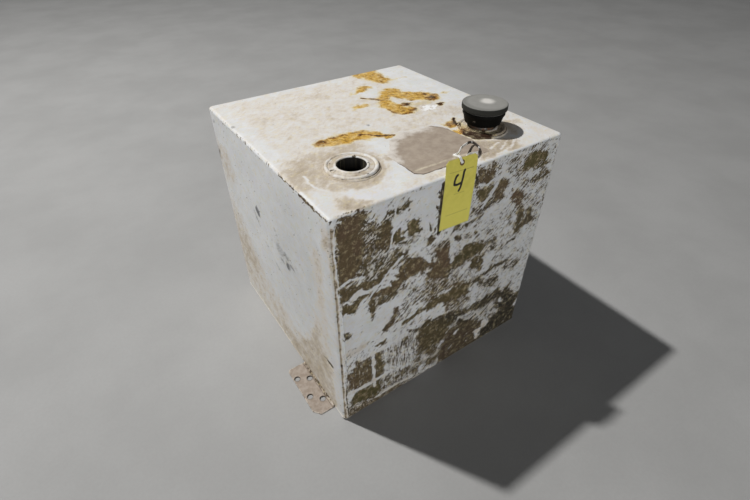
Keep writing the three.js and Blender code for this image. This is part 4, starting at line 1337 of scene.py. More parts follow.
def tag_place(across, along, depth=0.0):
    """Where a point of the card lies, with depth in millimetres from its middle towards
    the tank. Above the fold the card leans back, and the whole card is turned a little."""
    x = across * math.cos(TAG_TWIST) - along * math.sin(TAG_TWIST)
    s = across * math.sin(TAG_TWIST) + along * math.cos(TAG_TWIST)
    half = TAG_FOLD_HALF
    share = np.clip((half - s) / (2 * half), 0, 1)
    lean = share * TAG_LEAN
    bent = np.clip(half - s, 0, 2 * half)
    y = TAG_LEAN * bent ** 2 / (4 * half) - np.minimum(s + half, 0) * math.sin(TAG_LEAN)
    z = -s * (1 - share * (1 - math.cos(TAG_LEAN)))
    y, z = y + depth * np.cos(lean), z - depth * np.sin(lean)
    c, t = math.cos(TAG_TURN), math.sin(TAG_TURN)
    return (np.column_stack([x * c + y * t, y * c - x * t, z]) + np.array(TAG_FOLD)) * MM


NUMERAL = [
    [(-8.9, -2.6), (-11.9, -1), (-13.7, 3.7), (-15, 8.3), (-15.4, 13.1), (-14.9, 16.5), (-12.2, 18),
     (-7.2, 18.7), (-2.4, 17.9), (0.7, 17.1)],
    [(8.7, -9.7), (6.6, -5.8), (5.9, 0.1), (5.2, 7.6), (4.1, 15.2), (3.2, 22.1), (1.5, 28.9),
     (-1.4, 33.9)],
]
RULES = [[(-30, -11.4), (31, -10.6)], [(-12.5, 39.5), (14, 39.5)], [(-27, 86.5), (31, 86.5)]]


def tag():
    """Card with two cut corners, a hole, and distances to its numeral, rules and edge."""
    half, cut = TAG_WIDTH / 2, TAG_CORNER_CUT
    top, bottom = -TAG_ABOVE_FOLD, TAG_LENGTH - TAG_ABOVE_FOLD
    corners = [(-half, bottom), (half, bottom), (half, top + cut), (half - cut, top),
               (-half + cut, top), (-half, top + cut)]
    hole = circle(0, EYELET_ALONG, 4.4, 32)

    def place(points, depth):
        wave = 0.2 * lattice_noise(points[:, 0], points[:, 1], 26, 13) - 0.05
        inward = depth / MM - TAG_THICKNESS / MM / 2
        return tag_place(points[:, 0], points[:, 1], inward + wave)

    obj, flat = plate("tag_card", [divided(corners, 1.6), hole], 1.3, place, TAG_THICKNESS, MM)
    across, along = flat.T
    for name, lines in (("ink", NUMERAL), ("rule", RULES)):
        channel(obj, name, np.min([distance_to_line(across, along, line) for line in lines], axis=0))
    to_ends = np.minimum(along - top, bottom - along)
    channel(obj, "edge", np.minimum(half - np.abs(across), to_ends))
    return obj


def eyelet():
    """Fibre ring whose rims lie on both sides of the card."""
    at = tag_place(np.array([0.0]), np.array([float(EYELET_ALONG)]))[0]
    half, hole, rim, barrel = TAG_THICKNESS / MM / 2 + 0.15, 3.2, 6, 4
    proud = half + 0.5
    profile = rounded([(hole, -proud), (rim, -proud), (rim, -half), (barrel, -half), (barrel, half),
                       (rim, half), (rim, proud), (hole, proud)], 0.3)
    tilt = Matrix.Rotation(-TAG_TURN, 4, "Z") @ Matrix.Rotation(math.pi / 2 - TAG_LEAN, 4, "X")
    return lathe("tag_eyelet_ring", profile, at, 64, tilt=tilt)


TIE_HEAD = Vector((-9.7, -288.8, 638))


def off_card(across, along, away):
    """A point in front of the card, or behind it with away below 0."""
    return Vector(tag_place(np.array([float(across)]), np.array([float(along)]), -away)[0]) / MM


def tie_route():
    """Centre line of the tie: out of its head, over the card's end, back through the
    eyelet, and round in a loop that rests on the tank's top. Each point has the way that
    the band's broad side faces across."""
    flat, upright, slanting = (1, 0, 0), (0, 0, 1), (0.7, 0, 0.7)
    head = TIE_HEAD
    return [
        (head + Vector((0, -4.0, 0.3)), flat),
        (head + Vector((-1.6, -11, 3)), flat),
        (off_card(-9, -42, -1.5), flat),
        (off_card(-8.5, -39.5, 3), flat),
        (off_card(-5, -32.5, 3.6), flat),
        (off_card(-2, -28.2, 2.6), flat),
        (off_card(-0.5, EYELET_ALONG, 0), flat),
        (off_card(0, EYELET_ALONG, -5), flat),
        (Vector((12, -294.5, 628.5)), slanting),
        (Vector((39, -282.5, 624.5)), upright),
        (Vector((65, -277.5, 617.5)), upright),
        (Vector((80, -269, 614.6)), upright),
        (Vector((93, -252, 614)), upright),
        (Vector((94, -237, 616)), upright),
        (Vector((83, -236.5, 620)), upright),
        (Vector((67, -243.5, 624.2)), upright),
        (Vector((32, -262.5, 632)), upright),
        (Vector((4, -284, 636.8)), upright),
        (head + Vector((2, 1.6, 0)), upright),
    ]


def part_way(start, end, low, high, at):
    """Value at a place between low and high, where it is start and end."""
    return (start * (high - at) + end * (at - low)) / (high - low)


def through(points, steps):
    """A smooth line through the points (centripetal Catmull-Rom)."""
    rows = np.array(points, float)
    rows = np.vstack([2 * rows[0] - rows[1], rows, 2 * rows[-1] - rows[-2]])
    found = []
    for i in range(1, len(rows) - 2):
        p = rows[i - 1:i + 3]
        gaps = [math.sqrt(max(np.linalg.norm(p[k + 1][:3] - p[k][:3]), 1e-9)) for k in range(3)]
        t = np.concatenate([[0], np.cumsum(gaps)])
        for at in np.linspace(t[1], t[2], steps, endpoint=False):
            level = p
            for reach in (1, 2):
                level = [part_way(level[k], level[k + 1], t[k], t[k + reach], at)
                         for k in range(4 - reach)]
            found.append(part_way(*level, t[1], t[2], at))
    return np.vstack([found, rows[-2]])


def superellipse(wave):
    """Squares off the cosines or sines of a round section."""
    return np.sign(wave) * np.abs(wave) ** 0.5


def tie():
    """The tie's band, with dark grime on its loop and across its inner strand."""
    line = through([(*point, *way) for point, way in tie_route()], 9)
    centres, ways = line[:, :3] * MM, line[:, 3:]
    along = np.gradient(centres, axis=0)
    along /= np.linalg.norm(along, axis=1)[:, None]
    sides = ways - (ways * along).sum(1)[:, None] * along
    sides /= np.linalg.norm(sides, axis=1)[:, None]
    ups = np.cross(along, sides)
    half_width, half_thickness = 2.7 * MM, 1.3 * MM
    turns = np.arange(16) / 16 * 2 * math.pi
    section = np.stack([half_width * superellipse(np.cos(turns)),
                        half_thickness * superellipse(np.sin(turns))], -1)
    obj = swept("tag_tie_band", centres, sides, ups, section, sharp=60)
    x, y, _ = places(obj.data)
    on_loop = smooth(x, 62, 72) * (1 - 0.5 * smooth(np.abs(x - 88), 5, 2))
    channel(obj, "grime", np.maximum(on_loop, smooth(np.abs(x - 37), 3.5, 1.5) * (y > -272)))
    return obj


def tie_lock():
    """Head of the tie: a small block with eased edges that tapers towards the rear."""
    low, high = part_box("tag_tie_head")
    form = bmesh.new()
    bmesh.ops.create_cube(form, size=1)
    bmesh.ops.subdivide_edges(form, edges=form.edges[:], cuts=5, use_grid_fill=True)
    centre, half = (low + high) / 2, (high - low) / 2
    power = 5
    points = []
    for vert in form.verts:
        corner = vert.co * 2
        eased = corner / sum(abs(part) ** power for part in corner) ** (1 / power)
        taper = 1 - 0.12 * max(0.0, corner.y)
        stretch = Vector((half.x * taper, half.y, half.z * taper))
        points.append(centre + eased * stretch)
    form.verts.index_update()
    faces = [[vert.index for vert in face.verts] for face in form.faces]
    form.free()
    obj = built("tag_tie_lock", points, faces, np.array(points)[:, :2], 60)
    channel(obj, "grime", np.zeros(len(points)))
    return obj


# Materials

class Shader:
    """A principled material whose sockets take numbers, colours or other nodes' outputs."""

    def __init__(self, name, **plain):
        self.material = bpy.data.materials.new(name)
        self.material.use_nodes = True
        self.tree = self.material.node_tree
        self.tree.nodes.clear()
        self.skin = self.tree.nodes.new("ShaderNodeBsdfPrincipled")
        output = self.tree.nodes.new("ShaderNodeOutputMaterial")
        self.tree.links.new(self.skin.outputs["BSDF"], output.inputs["Surface"])
        for socket, value in plain.items():
            self.set(socket.replace("_", " "), value)

    def put(self, socket, value):
        if isinstance(value, bpy.types.NodeSocket):
            self.tree.links.new(value, socket)
        elif isinstance(value, tuple) and len(value) == 3 and socket.type == "RGBA":
            socket.default_value = (*value, 1)
        else:
            socket.default_value = value

    def set(self, socket, value):
        self.put(self.skin.inputs[socket], value)

    def node(self, kind, *values, **settings):
        node = self.tree.nodes.new(kind)
        for name, value in settings.items():
            setattr(node, name, value)
        for index, value in enumerate(values):
            self.put(node.inputs[index], value)
        return node

    def channel(self, name):
        return self.node("ShaderNodeAttribute", attribute_name=name).outputs["Fac"]

    def face(self):
        return self.node("ShaderNodeUVMap", uv_map="face").outputs[0]

    def body(self):
        return self.node("ShaderNodeTexCoord").outputs["Object"]

    def grain(self, vector, turn, length, width):
        """Coordinates in which one unit is a length along a direction and a width across."""
        node = self.node("ShaderNodeMapping", vector_type="TEXTURE")
        node.inputs["Rotation"].default_value = (0, 0, math.radians(turn))
        node.inputs["Scale"].default_value = (length, width, width)
        self.tree.links.new(vector, node.inputs["Vector"])
        return node.outputs[0]

    def noise(self, vector, scale, detail=4.0, roughness=0.55, distortion=0.0):
        node = self.node("ShaderNodeTexNoise")
        for socket, value in (("Vector", vector), ("Scale", scale), ("Detail", detail),
                              ("Roughness", roughness), ("Distortion", distortion)):
            self.put(node.inputs[socket], value)
        return node.outputs[0]

    def part(self, vector, axis):
        return self.node("ShaderNodeSeparateXYZ", vector).outputs[axis]

    def times(self, a, b, clamp=False):
        return self.node("ShaderNodeMath", a, b, operation="MULTIPLY", use_clamp=clamp).outputs[0]

    def plus(self, a, b):
        return self.node("ShaderNodeMath", a, b, operation="ADD").outputs[0]

    def less(self, a, b):
        """a minus b, and at least 0."""
        return self.node("ShaderNodeMath", a, b, operation="SUBTRACT", use_clamp=True).outputs[0]

    def ramp(self, value, low, high, start=0.0, end=1.0):
        node = self.node("ShaderNodeMapRange", value, low, high, start, end)
        node.interpolation_type = "SMOOTHSTEP"
        return node.outputs[0]

    def jitter(self, value, *pairs):
        """value moved up and down by each pair of a noise and an amount."""
        for noise, amount in pairs:
            step = self.node("ShaderNodeMath", noise, amount, -amount / 2, operation="MULTIPLY_ADD")
            value = self.plus(value, step.outputs[0])
        return value

    def mix(self, share, a, b):
        node = self.tree.nodes.new("ShaderNodeMix")
        node.data_type = "RGBA"
        for index, value in ((0, share), (6, a), (7, b)):
            self.put(node.inputs[index], value)
        return node.outputs[2]

    def blend(self, share, a, b):
        node = self.tree.nodes.new("ShaderNodeMix")
        for index, value in ((0, share), (2, a), (3, b)):
            self.put(node.inputs[index], value)
        return node.outputs[0]

    def finished(self, colour, roughness, height, distance, strength):
        """The material, with a relief of the given height."""
        bump = self.node("ShaderNodeBump")
        for socket, value in (("Height", height), ("Distance", distance), ("Strength", strength)):
            self.put(bump.inputs[socket], value)
        self.set("Base Color", colour)
        self.set("Roughness", roughness)
        self.set("Normal", bump.outputs[0])
        return self.material


# Colours, as linear light
WHITE = (0.745, 0.750, 0.753)
GREY_WHITE = (0.680, 0.686, 0.690)
FILM = (0.405, 0.41, 0.41)
LILAC = (0.700, 0.690, 0.740)
SMEAR = (0.335, 0.295, 0.240)
GREENISH = (0.670, 0.700, 0.665)
PALE_DUST = (0.668, 0.622, 0.566)
CREAM = (0.665, 0.600, 0.495)
BEIGE = (0.48, 0.405, 0.315)
TAN = (0.345, 0.282, 0.205)
BROWN = (0.124, 0.084, 0.047)
PALE_BROWN = (0.168, 0.121, 0.076)
RED_BROWN = (0.128, 0.079, 0.054)
OLIVE = (0.092, 0.080, 0.029)
# Near black, for soot and for painted shade
SHADE_AND_SOOT = (0.024, 0.021, 0.018)
AMBER = (0.59, 0.350, 0.066)
PALE_AMBER = (0.76, 0.555, 0.205)
DARK_AMBER = (0.215, 0.110, 0.024)
ORANGE = (0.265, 0.125, 0.030)
BURNT = (0.034, 0.016, 0.008)
AMBER_HAZE = (0.70, 0.60, 0.34)
GRIT_BROWN = (0.20, 0.155, 0.11)
RUB_GREY = (0.10, 0.10, 0.105)
SPILL_GLINT_WHITE = (0.93, 0.93, 0.92)


def worn_paint():
    """White paint, worn through to brown primer and rust, stained and dusty, with painted shade in its
    darkest marks and a painted highlight on a spill.
    """
    s = Shader("worn_paint", Specular_IOR_Level=0.17)
    face = s.face()
    bare_level, dirt_level = s.channel("bare"), s.channel("dirt")
    leaning = s.noise(s.grain(face, 37, 0.020, 0.0060), 1, 6, 0.66, 0.4)
    upright = s.noise(s.grain(face, 90, 0.034, 0.0036), 1, 5, 0.64, 0.3)
    streak = s.blend(s.channel("upright"), leaning, upright)
    ragged = s.noise(face, 40, 6, 0.62, 0.3)
    fine = s.noise(face, 620, 3, 0.6)
    broad = s.noise(face, 16, 5, 0.6)
    cloud = s.noise(face, 70, 6, 0.65)

    fleck = s.noise(s.grain(face, 37, 0.0075, 0.0030), 1, 3, 0.6, 0.3)
    worn = s.jitter(bare_level, (streak, 2.8), (ragged, 1.6), (fleck, 2.0))
    bare = s.ramp(worn, 0.45, 0.56)
    fringe = s.less(s.ramp(worn, 0.24, 0.50), bare)

    coat = s.mix(s.ramp(broad, 0.35, 0.65), GREY_WHITE, WHITE)
    tint = s.noise(face, 24, 4, 0.6)
    coat = s.mix(s.ramp(tint, 0.55, 0.68, 0, 0.6), coat, LILAC)
    coat = s.mix(s.ramp(tint, 0.45, 0.32, 0, 0.6), coat, GREENISH)
    thick = s.ramp(s.jitter(cloud, (ragged, 0.8)), 0.28, 0.66, 0.65, 1.0)
    coat = s.mix(s.times(s.channel("veil"), thick), coat, FILM)
    cream = s.ramp(s.jitter(bare_level, (cloud, 0.8)), 0.25, 0.95, 0, 0.62)
    coat = s.mix(cream, coat, CREAM)
    coat = s.mix(s.times(fringe, 0.28), coat, TAN)
    mottle = s.noise(face, 28, 7, 0.68, 0.4)
    brush = s.noise(s.grain(face, 55, 0.080, 0.014), 1, 6, 0.62, 0.6)
    smudge = s.noise(s.grain(face, 25, 0.026, 0.011), 1, 6, 0.74, 0.8)
    rubbed_thin = s.jitter(bare_level, (brush, 1.5), (ragged, 0.9))
    smear = s.times(s.ramp(rubbed_thin, 0.30, 0.80, 0, 0.62), s.ramp(mottle, 0.42, 0.60))
    coat = s.mix(smear, coat, SMEAR)
    dusty = s.jitter(dirt_level, (mottle, 1.4), (brush, 0.7))
    dusty = s.jitter(dusty, (smudge, 1.1), (fine, 0.2))
    dust = s.ramp(dusty, 0.0, 0.56, 0, 0.94)
    coat = s.mix(dust, coat, s.mix(s.ramp(dusty, 0.38, 0.95), PALE_DUST, BEIGE))
    coat = s.mix(s.ramp(dusty, 0.85, 1.35), coat, TAN)
    grit = s.noise(face, 260, 4, 0.7)
    speck = s.ramp(s.jitter(dirt_level, (fine, 1.6), (grit, 1.0)), 0.90, 1.16, 0, 0.50)
    coat = s.mix(speck, coat, GRIT_BROWN)

    steel = s.mix(s.ramp(s.noise(face, 55, 4, 0.55), 0.42, 0.70, 0, 0.45), BROWN, PALE_BROWN)
    steel = s.mix(s.ramp(s.noise(face, 11, 3), 0.48, 0.60, 0, 0.7), steel, RED_BROWN)
    steel = s.mix(s.channel("olive"), steel, s.mix(s.ramp(cloud, 0.42, 0.62), OLIVE, BROWN))
    # Dark rims round worn patches: dark chips, with painted shade under the paint's broken edge
    chips_and_edge_shade = s.less(s.ramp(worn, 0.50, 0.60), s.ramp(worn, 0.66, 0.95))
    steel = s.mix(s.times(chips_and_edge_shade, 0.55), steel, SHADE_AND_SOOT)
    drag = s.noise(s.grain(face, 62, 0.03, 0.004), 1, 5, 0.6)
    steel = s.mix(s.ramp(drag, 0.52, 0.68, 0, 0.42), steel, SHADE_AND_SOOT)
    # Soot, and painted shade laid through the same channel
    steel = s.mix(s.times(s.channel("soot"), 0.92, clamp=True), steel, SHADE_AND_SOOT)
    colour = s.mix(bare, coat, steel)

    stain = s.jitter(s.channel("rust"), (cloud, 1.5), (grit, 1.0), (fine, 0.4))
    stained = s.ramp(stain, 0.30, 0.90)
    haze = s.ramp(stain, -0.02, 0.44, 0, 0.66)
    colour = s.mix(haze, colour, AMBER_HAZE)
    tone = s.jitter(s.noise(face, 62, 4, 0.7, 0.8), (stain, 0.16), (grit, 0.35))
    amber = s.mix(s.ramp(tone, 0.40, 0.56), PALE_AMBER, AMBER)
    amber = s.mix(s.ramp(tone, 0.55, 0.74, 0, 0.8), amber, DARK_AMBER)
    burn = s.jitter(s.channel("burnt"), (cloud, 2.4), (mottle, 1.2), (grit, 1.3))
    rim = s.less(s.ramp(stain, 0.40, 0.60), s.ramp(stain, 0.60, 0.82))
    burn = s.plus(burn, s.times(rim, 0.30))
    amber = s.mix(s.ramp(burn, 0.10, 0.56), amber, ORANGE)
    charred = s.ramp(burn, 0.46, 0.86)
    amber = s.mix(charred, amber, BURNT)
    thin = s.ramp(s.noise(face, 34, 5, 0.7, 0.5), 0.36, 0.54, 0.80, 1.0)
    colour = s.mix(s.times(stained, thin), colour, amber)

    rub = s.jitter(s.channel("scuff"), (streak, 0.9))
    rubbed = s.times(s.ramp(rub, 0.12, 0.95), s.ramp(s.channel("scuff"), 0.0, 0.15))
    colour = s.mix(s.times(rubbed, 0.9), colour, RUB_GREY)
    # Glossy spill, its white a painted highlight
    wet = s.ramp(s.jitter(s.channel("wet"), (cloud, 2.0), (grit, 1.4)), 0.42, 0.60)
    colour = s.mix(wet, colour, SPILL_GLINT_WHITE)

    rough = s.blend(bare, s.ramp(dusty, 0.0, 0.9, 0.42, 0.78), 0.70)
    rough = s.blend(stained, rough, s.blend(charred, 0.42, 0.80))
    rough = s.blend(wet, rough, 0.14)

    peel = s.times(bare, -0.16)
    relief = s.plus(peel, s.times(s.times(bare, fine), 0.10))
    relief = s.plus(relief, s.times(s.noise(face, 260, 3), 0.05))
    relief = s.plus(relief, s.times(stained, 0.10))
    return s.finished(colour, rough, relief, 1.2 * MM, 0.8)


def foot_dust():
    """Plate under beige, slightly pink dust, with a painted highlight along its pale outer edge."""
    s = Shader("foot_dust")
    face = s.face()
    cloud = s.noise(face, 80, 6, 0.65)
    fine = s.noise(face, 700, 4, 0.6)
    grit = s.noise(face, 260, 5, 0.7)
    colour = s.mix(s.ramp(cloud, 0.36, 0.64), (0.262, 0.212, 0.170), (0.345, 0.295, 0.250))
    colour = s.mix(s.ramp(grit, 0.56, 0.72, 0, 0.45), colour, (0.46, 0.39, 0.32))
    colour = s.mix(s.ramp(fine, 0.42, 0.30, 0, 0.5), colour, (0.14, 0.11, 0.085))
    # Pale outer edge: a painted highlight
    rim = s.ramp(s.jitter(s.channel("edge"), (grit, 2.5)), 1.7, 0.4)
    colour = s.mix(s.times(rim, s.ramp(cloud, 0.42, 0.56)), colour, (0.54, 0.48, 0.41))
    # Dark rings round the bolt holes: painted shade in the holes
    ring = s.ramp(s.jitter(s.channel("hole"), (grit, 2.5)), 1.5, 0.5, 0, 0.92)
    colour = s.mix(ring, colour, (0.040, 0.030, 0.021))
    gap = s.ramp(s.jitter(s.channel("wall"), (grit, 9)), 8.5, 5.0, 0, 0.65)
    colour = s.mix(gap, colour, (0.100, 0.072, 0.052))
    relief = s.plus(cloud, s.times(grit, 0.5))
    return s.finished(colour, 0.86, relief, 0.6 * MM, 0.6)


def cap_plastic():
    """Moulded black plastic, grey with dust on its upper side, with a worn pale middle."""
    s = Shader("cap_plastic", Specular_IOR_Level=0.06)
    place = s.body()
    fine = s.noise(place, 900, 3)
    cloud = s.noise(place, 90, 5, 0.6)
    grit = s.noise(place, 300, 4, 0.65)
    tilt = s.node("ShaderNodeSeparateXYZ", s.node("ShaderNodeNewGeometry").outputs["Normal"])
    upward = s.ramp(tilt.outputs["Z"], 0.55, 0.97)
    dust = s.times(upward, s.ramp(cloud, 0.2, 0.6, 0.88, 1.0))
    height = s.part(place, "Z")
    edge = s.ramp(height, TOP + 46.4 * MM, TOP + 48.4 * MM)
    dark = s.mix(edge, (0.0035, 0.0035, 0.0030), (0.034, 0.034, 0.030))
    colour = s.mix(dust, dark, (0.285, 0.280, 0.262))
    middle = (FILL_AXIS.x + 5 * MM, FILL_AXIS.y - 1 * MM, 0)
    from_axis = s.node("ShaderNodeVectorMath", place, middle, operation="SUBTRACT")
    flat = s.node("ShaderNodeVectorMath", from_axis.outputs[0], (1, 1, 0), operation="MULTIPLY")
    radius = s.node("ShaderNodeVectorMath", flat.outputs[0], operation="LENGTH").outputs["Value"]
    worn = s.times(upward, s.ramp(s.jitter(radius, (cloud, 0.012)), 0.0220, 0.0070))
    colour = s.mix(s.times(worn, 0.95), colour, (0.63, 0.61, 0.575))
    grime = s.times(upward, s.ramp(s.jitter(radius, (cloud, 0.010)), 0.040, 0.050, 0, 0.35))
    colour = s.mix(grime, colour, (0.09, 0.088, 0.078))
    # Pale tan streaks on the skirt's left side: a painted highlight
    side = s.ramp(s.jitter(s.channel("smear"), (grit, 1.8)), 0.42, 0.95, 0, 0.30)
    colour = s.mix(side, colour, (0.30, 0.26, 0.21))
    relief = s.plus(s.times(fine, 0.3), cloud)
    return s.finished(colour, s.blend(dust, 0.56, 0.76), relief, 0.35 * MM, 0.5)


def rubber():
    """Black rubber, greyish in places."""
    s = Shader("rubber")
    place = s.body()
    cloud = s.noise(place, 150, 4)
    colour = s.mix(s.ramp(cloud, 0.4, 0.7), (0.012, 0.012, 0.012), (0.05, 0.045, 0.04))
    return s.finished(colour, 0.85, s.noise(place, 700, 3), 0.2 * MM, 0.5)


def pipe_steel():
    """Oily dark steel with rust in the thread."""
    s = Shader("pipe_steel")
    place = s.body()
    cloud = s.noise(place, 110, 5, 0.6)
    rust = s.ramp(cloud, 0.45, 0.62)
    s.set("Metallic", s.blend(rust, 0.85, 0.0))
    colour = s.mix(rust, (0.16, 0.145, 0.13), (0.13, 0.06, 0.025))
    return s.finished(colour, s.blend(rust, 0.38, 0.75), s.noise(place, 500, 4), 0.25 * MM, 0.6)


def label_film():
    """Bare worn film under dust, with a pale rubbed strip near its lower edge."""
    s = Shader("label_film")
    face = s.face()
    cloud = s.noise(face, 48, 6, 0.65)
    fine = s.noise(face, 520, 4, 0.6)
    smear = s.noise(s.grain(face, 20, 0.05, 0.008), 1, 4, 0.6)
    colour = s.mix(s.ramp(cloud, 0.36, 0.64), (0.326, 0.264, 0.208), (0.404, 0.336, 0.268))
    colour = s.mix(s.ramp(smear, 0.55, 0.75, 0, 0.4), colour, (0.46, 0.40, 0.34))
    speck = s.ramp(fine, 0.60, 0.70, 0, 0.35)
    colour = s.mix(speck, colour, (0.56, 0.50, 0.42))
    colour = s.mix(s.ramp(fine, 0.40, 0.30, 0, 0.4), colour, (0.18, 0.14, 0.11))
    strip = s.times(s.channel("strip"), s.ramp(s.jitter(fine, (cloud, 0.6)), 0.36, 0.56))
    colour = s.mix(strip, colour, (0.62, 0.55, 0.42))
    rim = s.ramp(s.jitter(s.channel("rim"), (fine, 1.2)), 0.42, 0.80)
    colour = s.mix(s.times(rim, 0.85), colour, (0.075, 0.055, 0.042))
    faded = s.ramp(s.jitter(s.channel("faded"), (cloud, 1.6), (fine, 0.6)), 0.30, 1.15)
    colour = s.mix(faded, colour, PALE_DUST)
    return s.finished(colour, 0.72, s.plus(cloud, s.times(fine, 0.3)), 0.3 * MM, 0.5)


def card():
    """Yellow tag card with a hand-drawn numeral, printed rules and soft dirt."""
    s = Shader("card")
    face = s.face()
    cloud = s.noise(face, 60, 5, 0.6)
    fine = s.noise(face, 1500, 3)
    colour = s.mix(s.ramp(cloud, 0.35, 0.65), (0.690, 0.608, 0.104), (0.765, 0.672, 0.126))
    colour = s.mix(s.ramp(cloud, 0.60, 0.74, 0, 0.25), colour, (0.55, 0.50, 0.20))
    along = s.part(face, "Y")
    colour = s.mix(s.ramp(along, 0.015, 0.095, 0, 0.8), colour, (0.79, 0.705, 0.135))
    edge = s.ramp(s.jitter(s.channel("edge"), (cloud, 6)), 2.2, 0.2, 0, 0.4)
    colour = s.mix(edge, colour, (0.44, 0.39, 0.16))
    rule = s.ramp(s.jitter(s.channel("rule"), (fine, 0.4)), 0.95, 0.40, 0, 0.65)
    colour = s.mix(rule, colour, (0.25, 0.21, 0.06))
    ink = s.ramp(s.jitter(s.channel("ink"), (fine, 0.5)), 3.05, 2.45)
    colour = s.mix(ink, colour, (0.012, 0.010, 0.010))
    relief = s.plus(cloud, s.times(fine, 0.25))
    return s.finished(colour, s.blend(ink, 0.62, 0.45), relief, 0.25 * MM, 0.35)


def fibre():
    """Brown pressed fibre."""
    s = Shader("fibre")
    place = s.body()
    fine = s.noise(place, 1400, 4)
    colour = s.mix(s.ramp(fine, 0.4, 0.65), (0.105, 0.052, 0.022), (0.20, 0.11, 0.055))
    return s.finished(colour, 0.8, fine, 0.15 * MM, 0.6)


def tie_plastic():
    """White nylon with dark grime rubbed into it."""
    s = Shader("tie_plastic")
    place = s.body()
    cloud = s.noise(place, 260, 4, 0.6)
    grime = s.ramp(s.jitter(s.channel("grime"), (cloud, 0.6)), 0.40, 0.62)
    colour = s.mix(s.ramp(cloud, 0.52, 0.72, 0, 0.5), (0.88, 0.87, 0.84), (0.60, 0.56, 0.48))
    colour = s.mix(grime, colour, (0.045, 0.036, 0.028))
    return s.finished(colour, s.blend(grime, 0.36, 0.7), cloud, 0.3 * MM, 0.4)


def floor_finish():
    """Plain pale floor with a faint mottle."""
    s = Shader("pale_floor")
    place = s.body()
    cloud = s.noise(place, 2.2, 6, 0.6)
    fine = s.noise(place, 130, 4, 0.6)
    colour = s.mix(s.ramp(cloud, 0.3, 0.7), (0.318, 0.316, 0.311), (0.360, 0.358, 0.353))
    colour = s.mix(s.ramp(fine, 0.35, 0.65, 0, 0.12), colour, (0.262, 0.260, 0.253))
    return s.finished(colour, 0.78, fine, 0.5 * MM, 0.35)


# The pieces

paint_finish = worn_paint()
foot_finish = foot_dust()
plastic_finish = cap_plastic()

for node, step, bulge, seed in (
    ("front_wall", 3.0 * MM, 0.9 * MM, 101),
    ("left_wall", 4.0 * MM, 1.2 * MM, 102),
    ("right_wall", 6.0 * MM, 1.2 * MM, 103),
    ("rear_wall", 5.0 * MM, 0.9 * MM, 104),
):
    sheet, outside = wall(node, step, bulge, seed)
    paint(sheet, outside)
    dress(sheet, node, paint_finish)

for node, sign, step, holes in (
    ("top_plate", 1, 3.2 * MM, [PUMP_AXIS, FILL_AXIS]),
    ("bottom_plate", -1, 12 * MM, []),
):
    sheet, outside = pan(node, sign, step, holes)
    paint(sheet, outside)
    dress(sheet, node, paint_finish)

for face, facing in (("front", -1), ("rear", 1)):
    for hand, side in (("left", -1), ("right", 1)):
        node = f"{face}_{hand}_seam_weld"
        bead = seam_bead(node, side * SEAM_X, facing)
        paint(bead)
        dress(bead, node, paint_finish)
for node in ("front_bottom_seam_weld", "rear_bottom_seam_weld"):
    bead = bottom_bead(node)
    paint(bead, dirt=0.5)
    dress(bead, node, paint_finish)

for hand, side in (("left", -1), ("right", 1)):
    node = f"{hand}_foot"
    dress(foot(node, side), node, foot_finish)
    bead = foot_weld(f"{node}_weld", side)
    paint(bead, dirt=0.9, bare=0.3, soot=0.2)
    dress(bead, f"{node}_weld", paint_finish)

for node, axis, seed in (("pump_flange", PUMP_AXIS, 61), ("fill_flange", FILL_AXIS, 62)):
    ring = flange(node, axis)
    paint(ring, top_only=True, change=flange_wear(axis))
    dress(ring, node, paint_finish)
    bead = flange_weld(f"{node}_weld", axis, seed)
    paint(bead, top_only=True, change=crevice(axis), dirt=0.7)
    dress(bead, f"{node}_weld", paint_finish)

dress(neck(), "fill_neck", pipe_steel())
dress(gasket(), "cap_gasket", rubber(), "gasket")
dress(cap_body(), "cap_body", plastic_finish, "cap")
dress(cap_disc(), "cap_disc", plastic_finish, "cap")

dress(label(), "label", label_film())
dress(tag(), "tag", card())
dress(eyelet(), "tag_eyelet", fibre())
tie_finish = tie_plastic()
dress(tie(), "tag_tie", tie_finish)
dress(tie_lock(), "tag_tie_head", tie_finish)


# Floor, light and camera

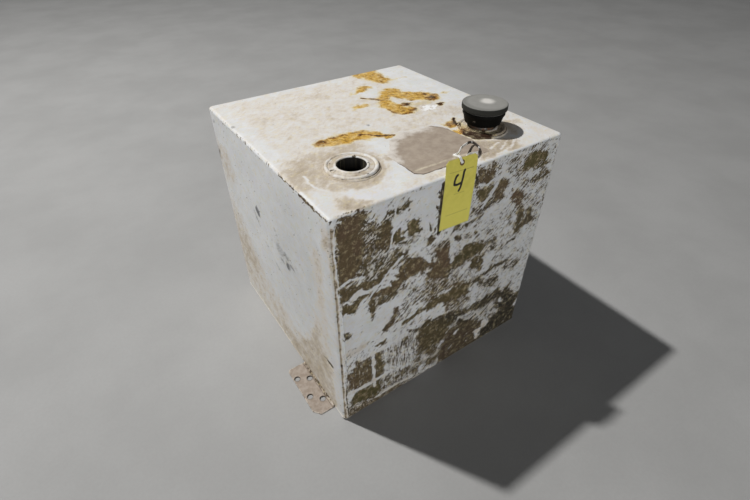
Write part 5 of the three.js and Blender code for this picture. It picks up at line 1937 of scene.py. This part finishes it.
def floor():
    """Square floor, with the tank at its middle."""
    half = 14
    corners = [(-half, -half, 0), (half, -half, 0), (half, half, 0), (-half, half, 0)]
    mesh = bpy.data.meshes.new("floor")
    mesh.from_pydata(corners, [], [(0, 1, 2, 3)])
    mesh.materials.append(floor_finish())
    linked("floor", mesh)


def lamp(kind, name, place, **settings):
    """A light at a place, turned towards the middle of the tank's underside."""
    data = bpy.data.lights.new(name, kind)
    for key, value in settings.items():
        setattr(data, key, value)
    obj = linked(name, data)
    obj.location = place
    obj.rotation_euler = (-Vector(place)).to_track_quat("-Z", "Y").to_euler()
    return obj


def light():
    """One main lamp over the rear left, a wide weak fill from the front left, and a dim
    surround."""
    world = bpy.data.worlds.new("studio")
    world.use_nodes = True
    background = world.node_tree.nodes["Background"]
    background.inputs["Color"].default_value = (0.97, 0.985, 1.0, 1)
    background.inputs["Strength"].default_value = 0.045
    bpy.context.scene.world = world
    key = lamp("POINT", "key", (-1.6, 1.95, 4.5), energy=915, shadow_soft_size=0.09,
               color=(1.0, 0.993, 0.98))
    # Its light falls off with distance as gently as that of the hall's many lamps
    key.data.use_nodes = True
    tree = key.data.node_tree
    falloff = tree.nodes.new("ShaderNodeLightFalloff")
    distance_to_tank = 4.65
    falloff.inputs["Strength"].default_value = 1 / distance_to_tank
    tree.links.new(falloff.outputs["Linear"], tree.nodes["Emission"].inputs["Strength"])
    lamp("SUN", "fill", (-1.42, -2.65, 0.25), energy=2.08, angle=math.radians(50),
         color=(0.955, 0.975, 1.0))
    bpy.context.scene.view_settings.view_transform = "Standard"


def camera():
    """The photograph's viewpoint, found from the corners of the box."""
    data = bpy.data.cameras.new("camera")
    data.sensor_width = 36
    data.lens = 21.679
    data.clip_start = 0.05
    obj = linked("camera", data)
    place = Vector((-0.58778, -0.86011, 1.04361))
    forward = Vector((0.43930792, 0.64430254, -0.62600542))
    right = Vector((0.8251563, -0.56489961, -0.00234591))
    up = Vector((0.3551417, 0.51552174, 0.77981518))
    turn = Matrix((right, up, -forward)).transposed().to_4x4()
    obj.matrix_world = Matrix.Translation(place) @ turn
    bpy.context.scene.camera = obj


floor()
light()
camera()
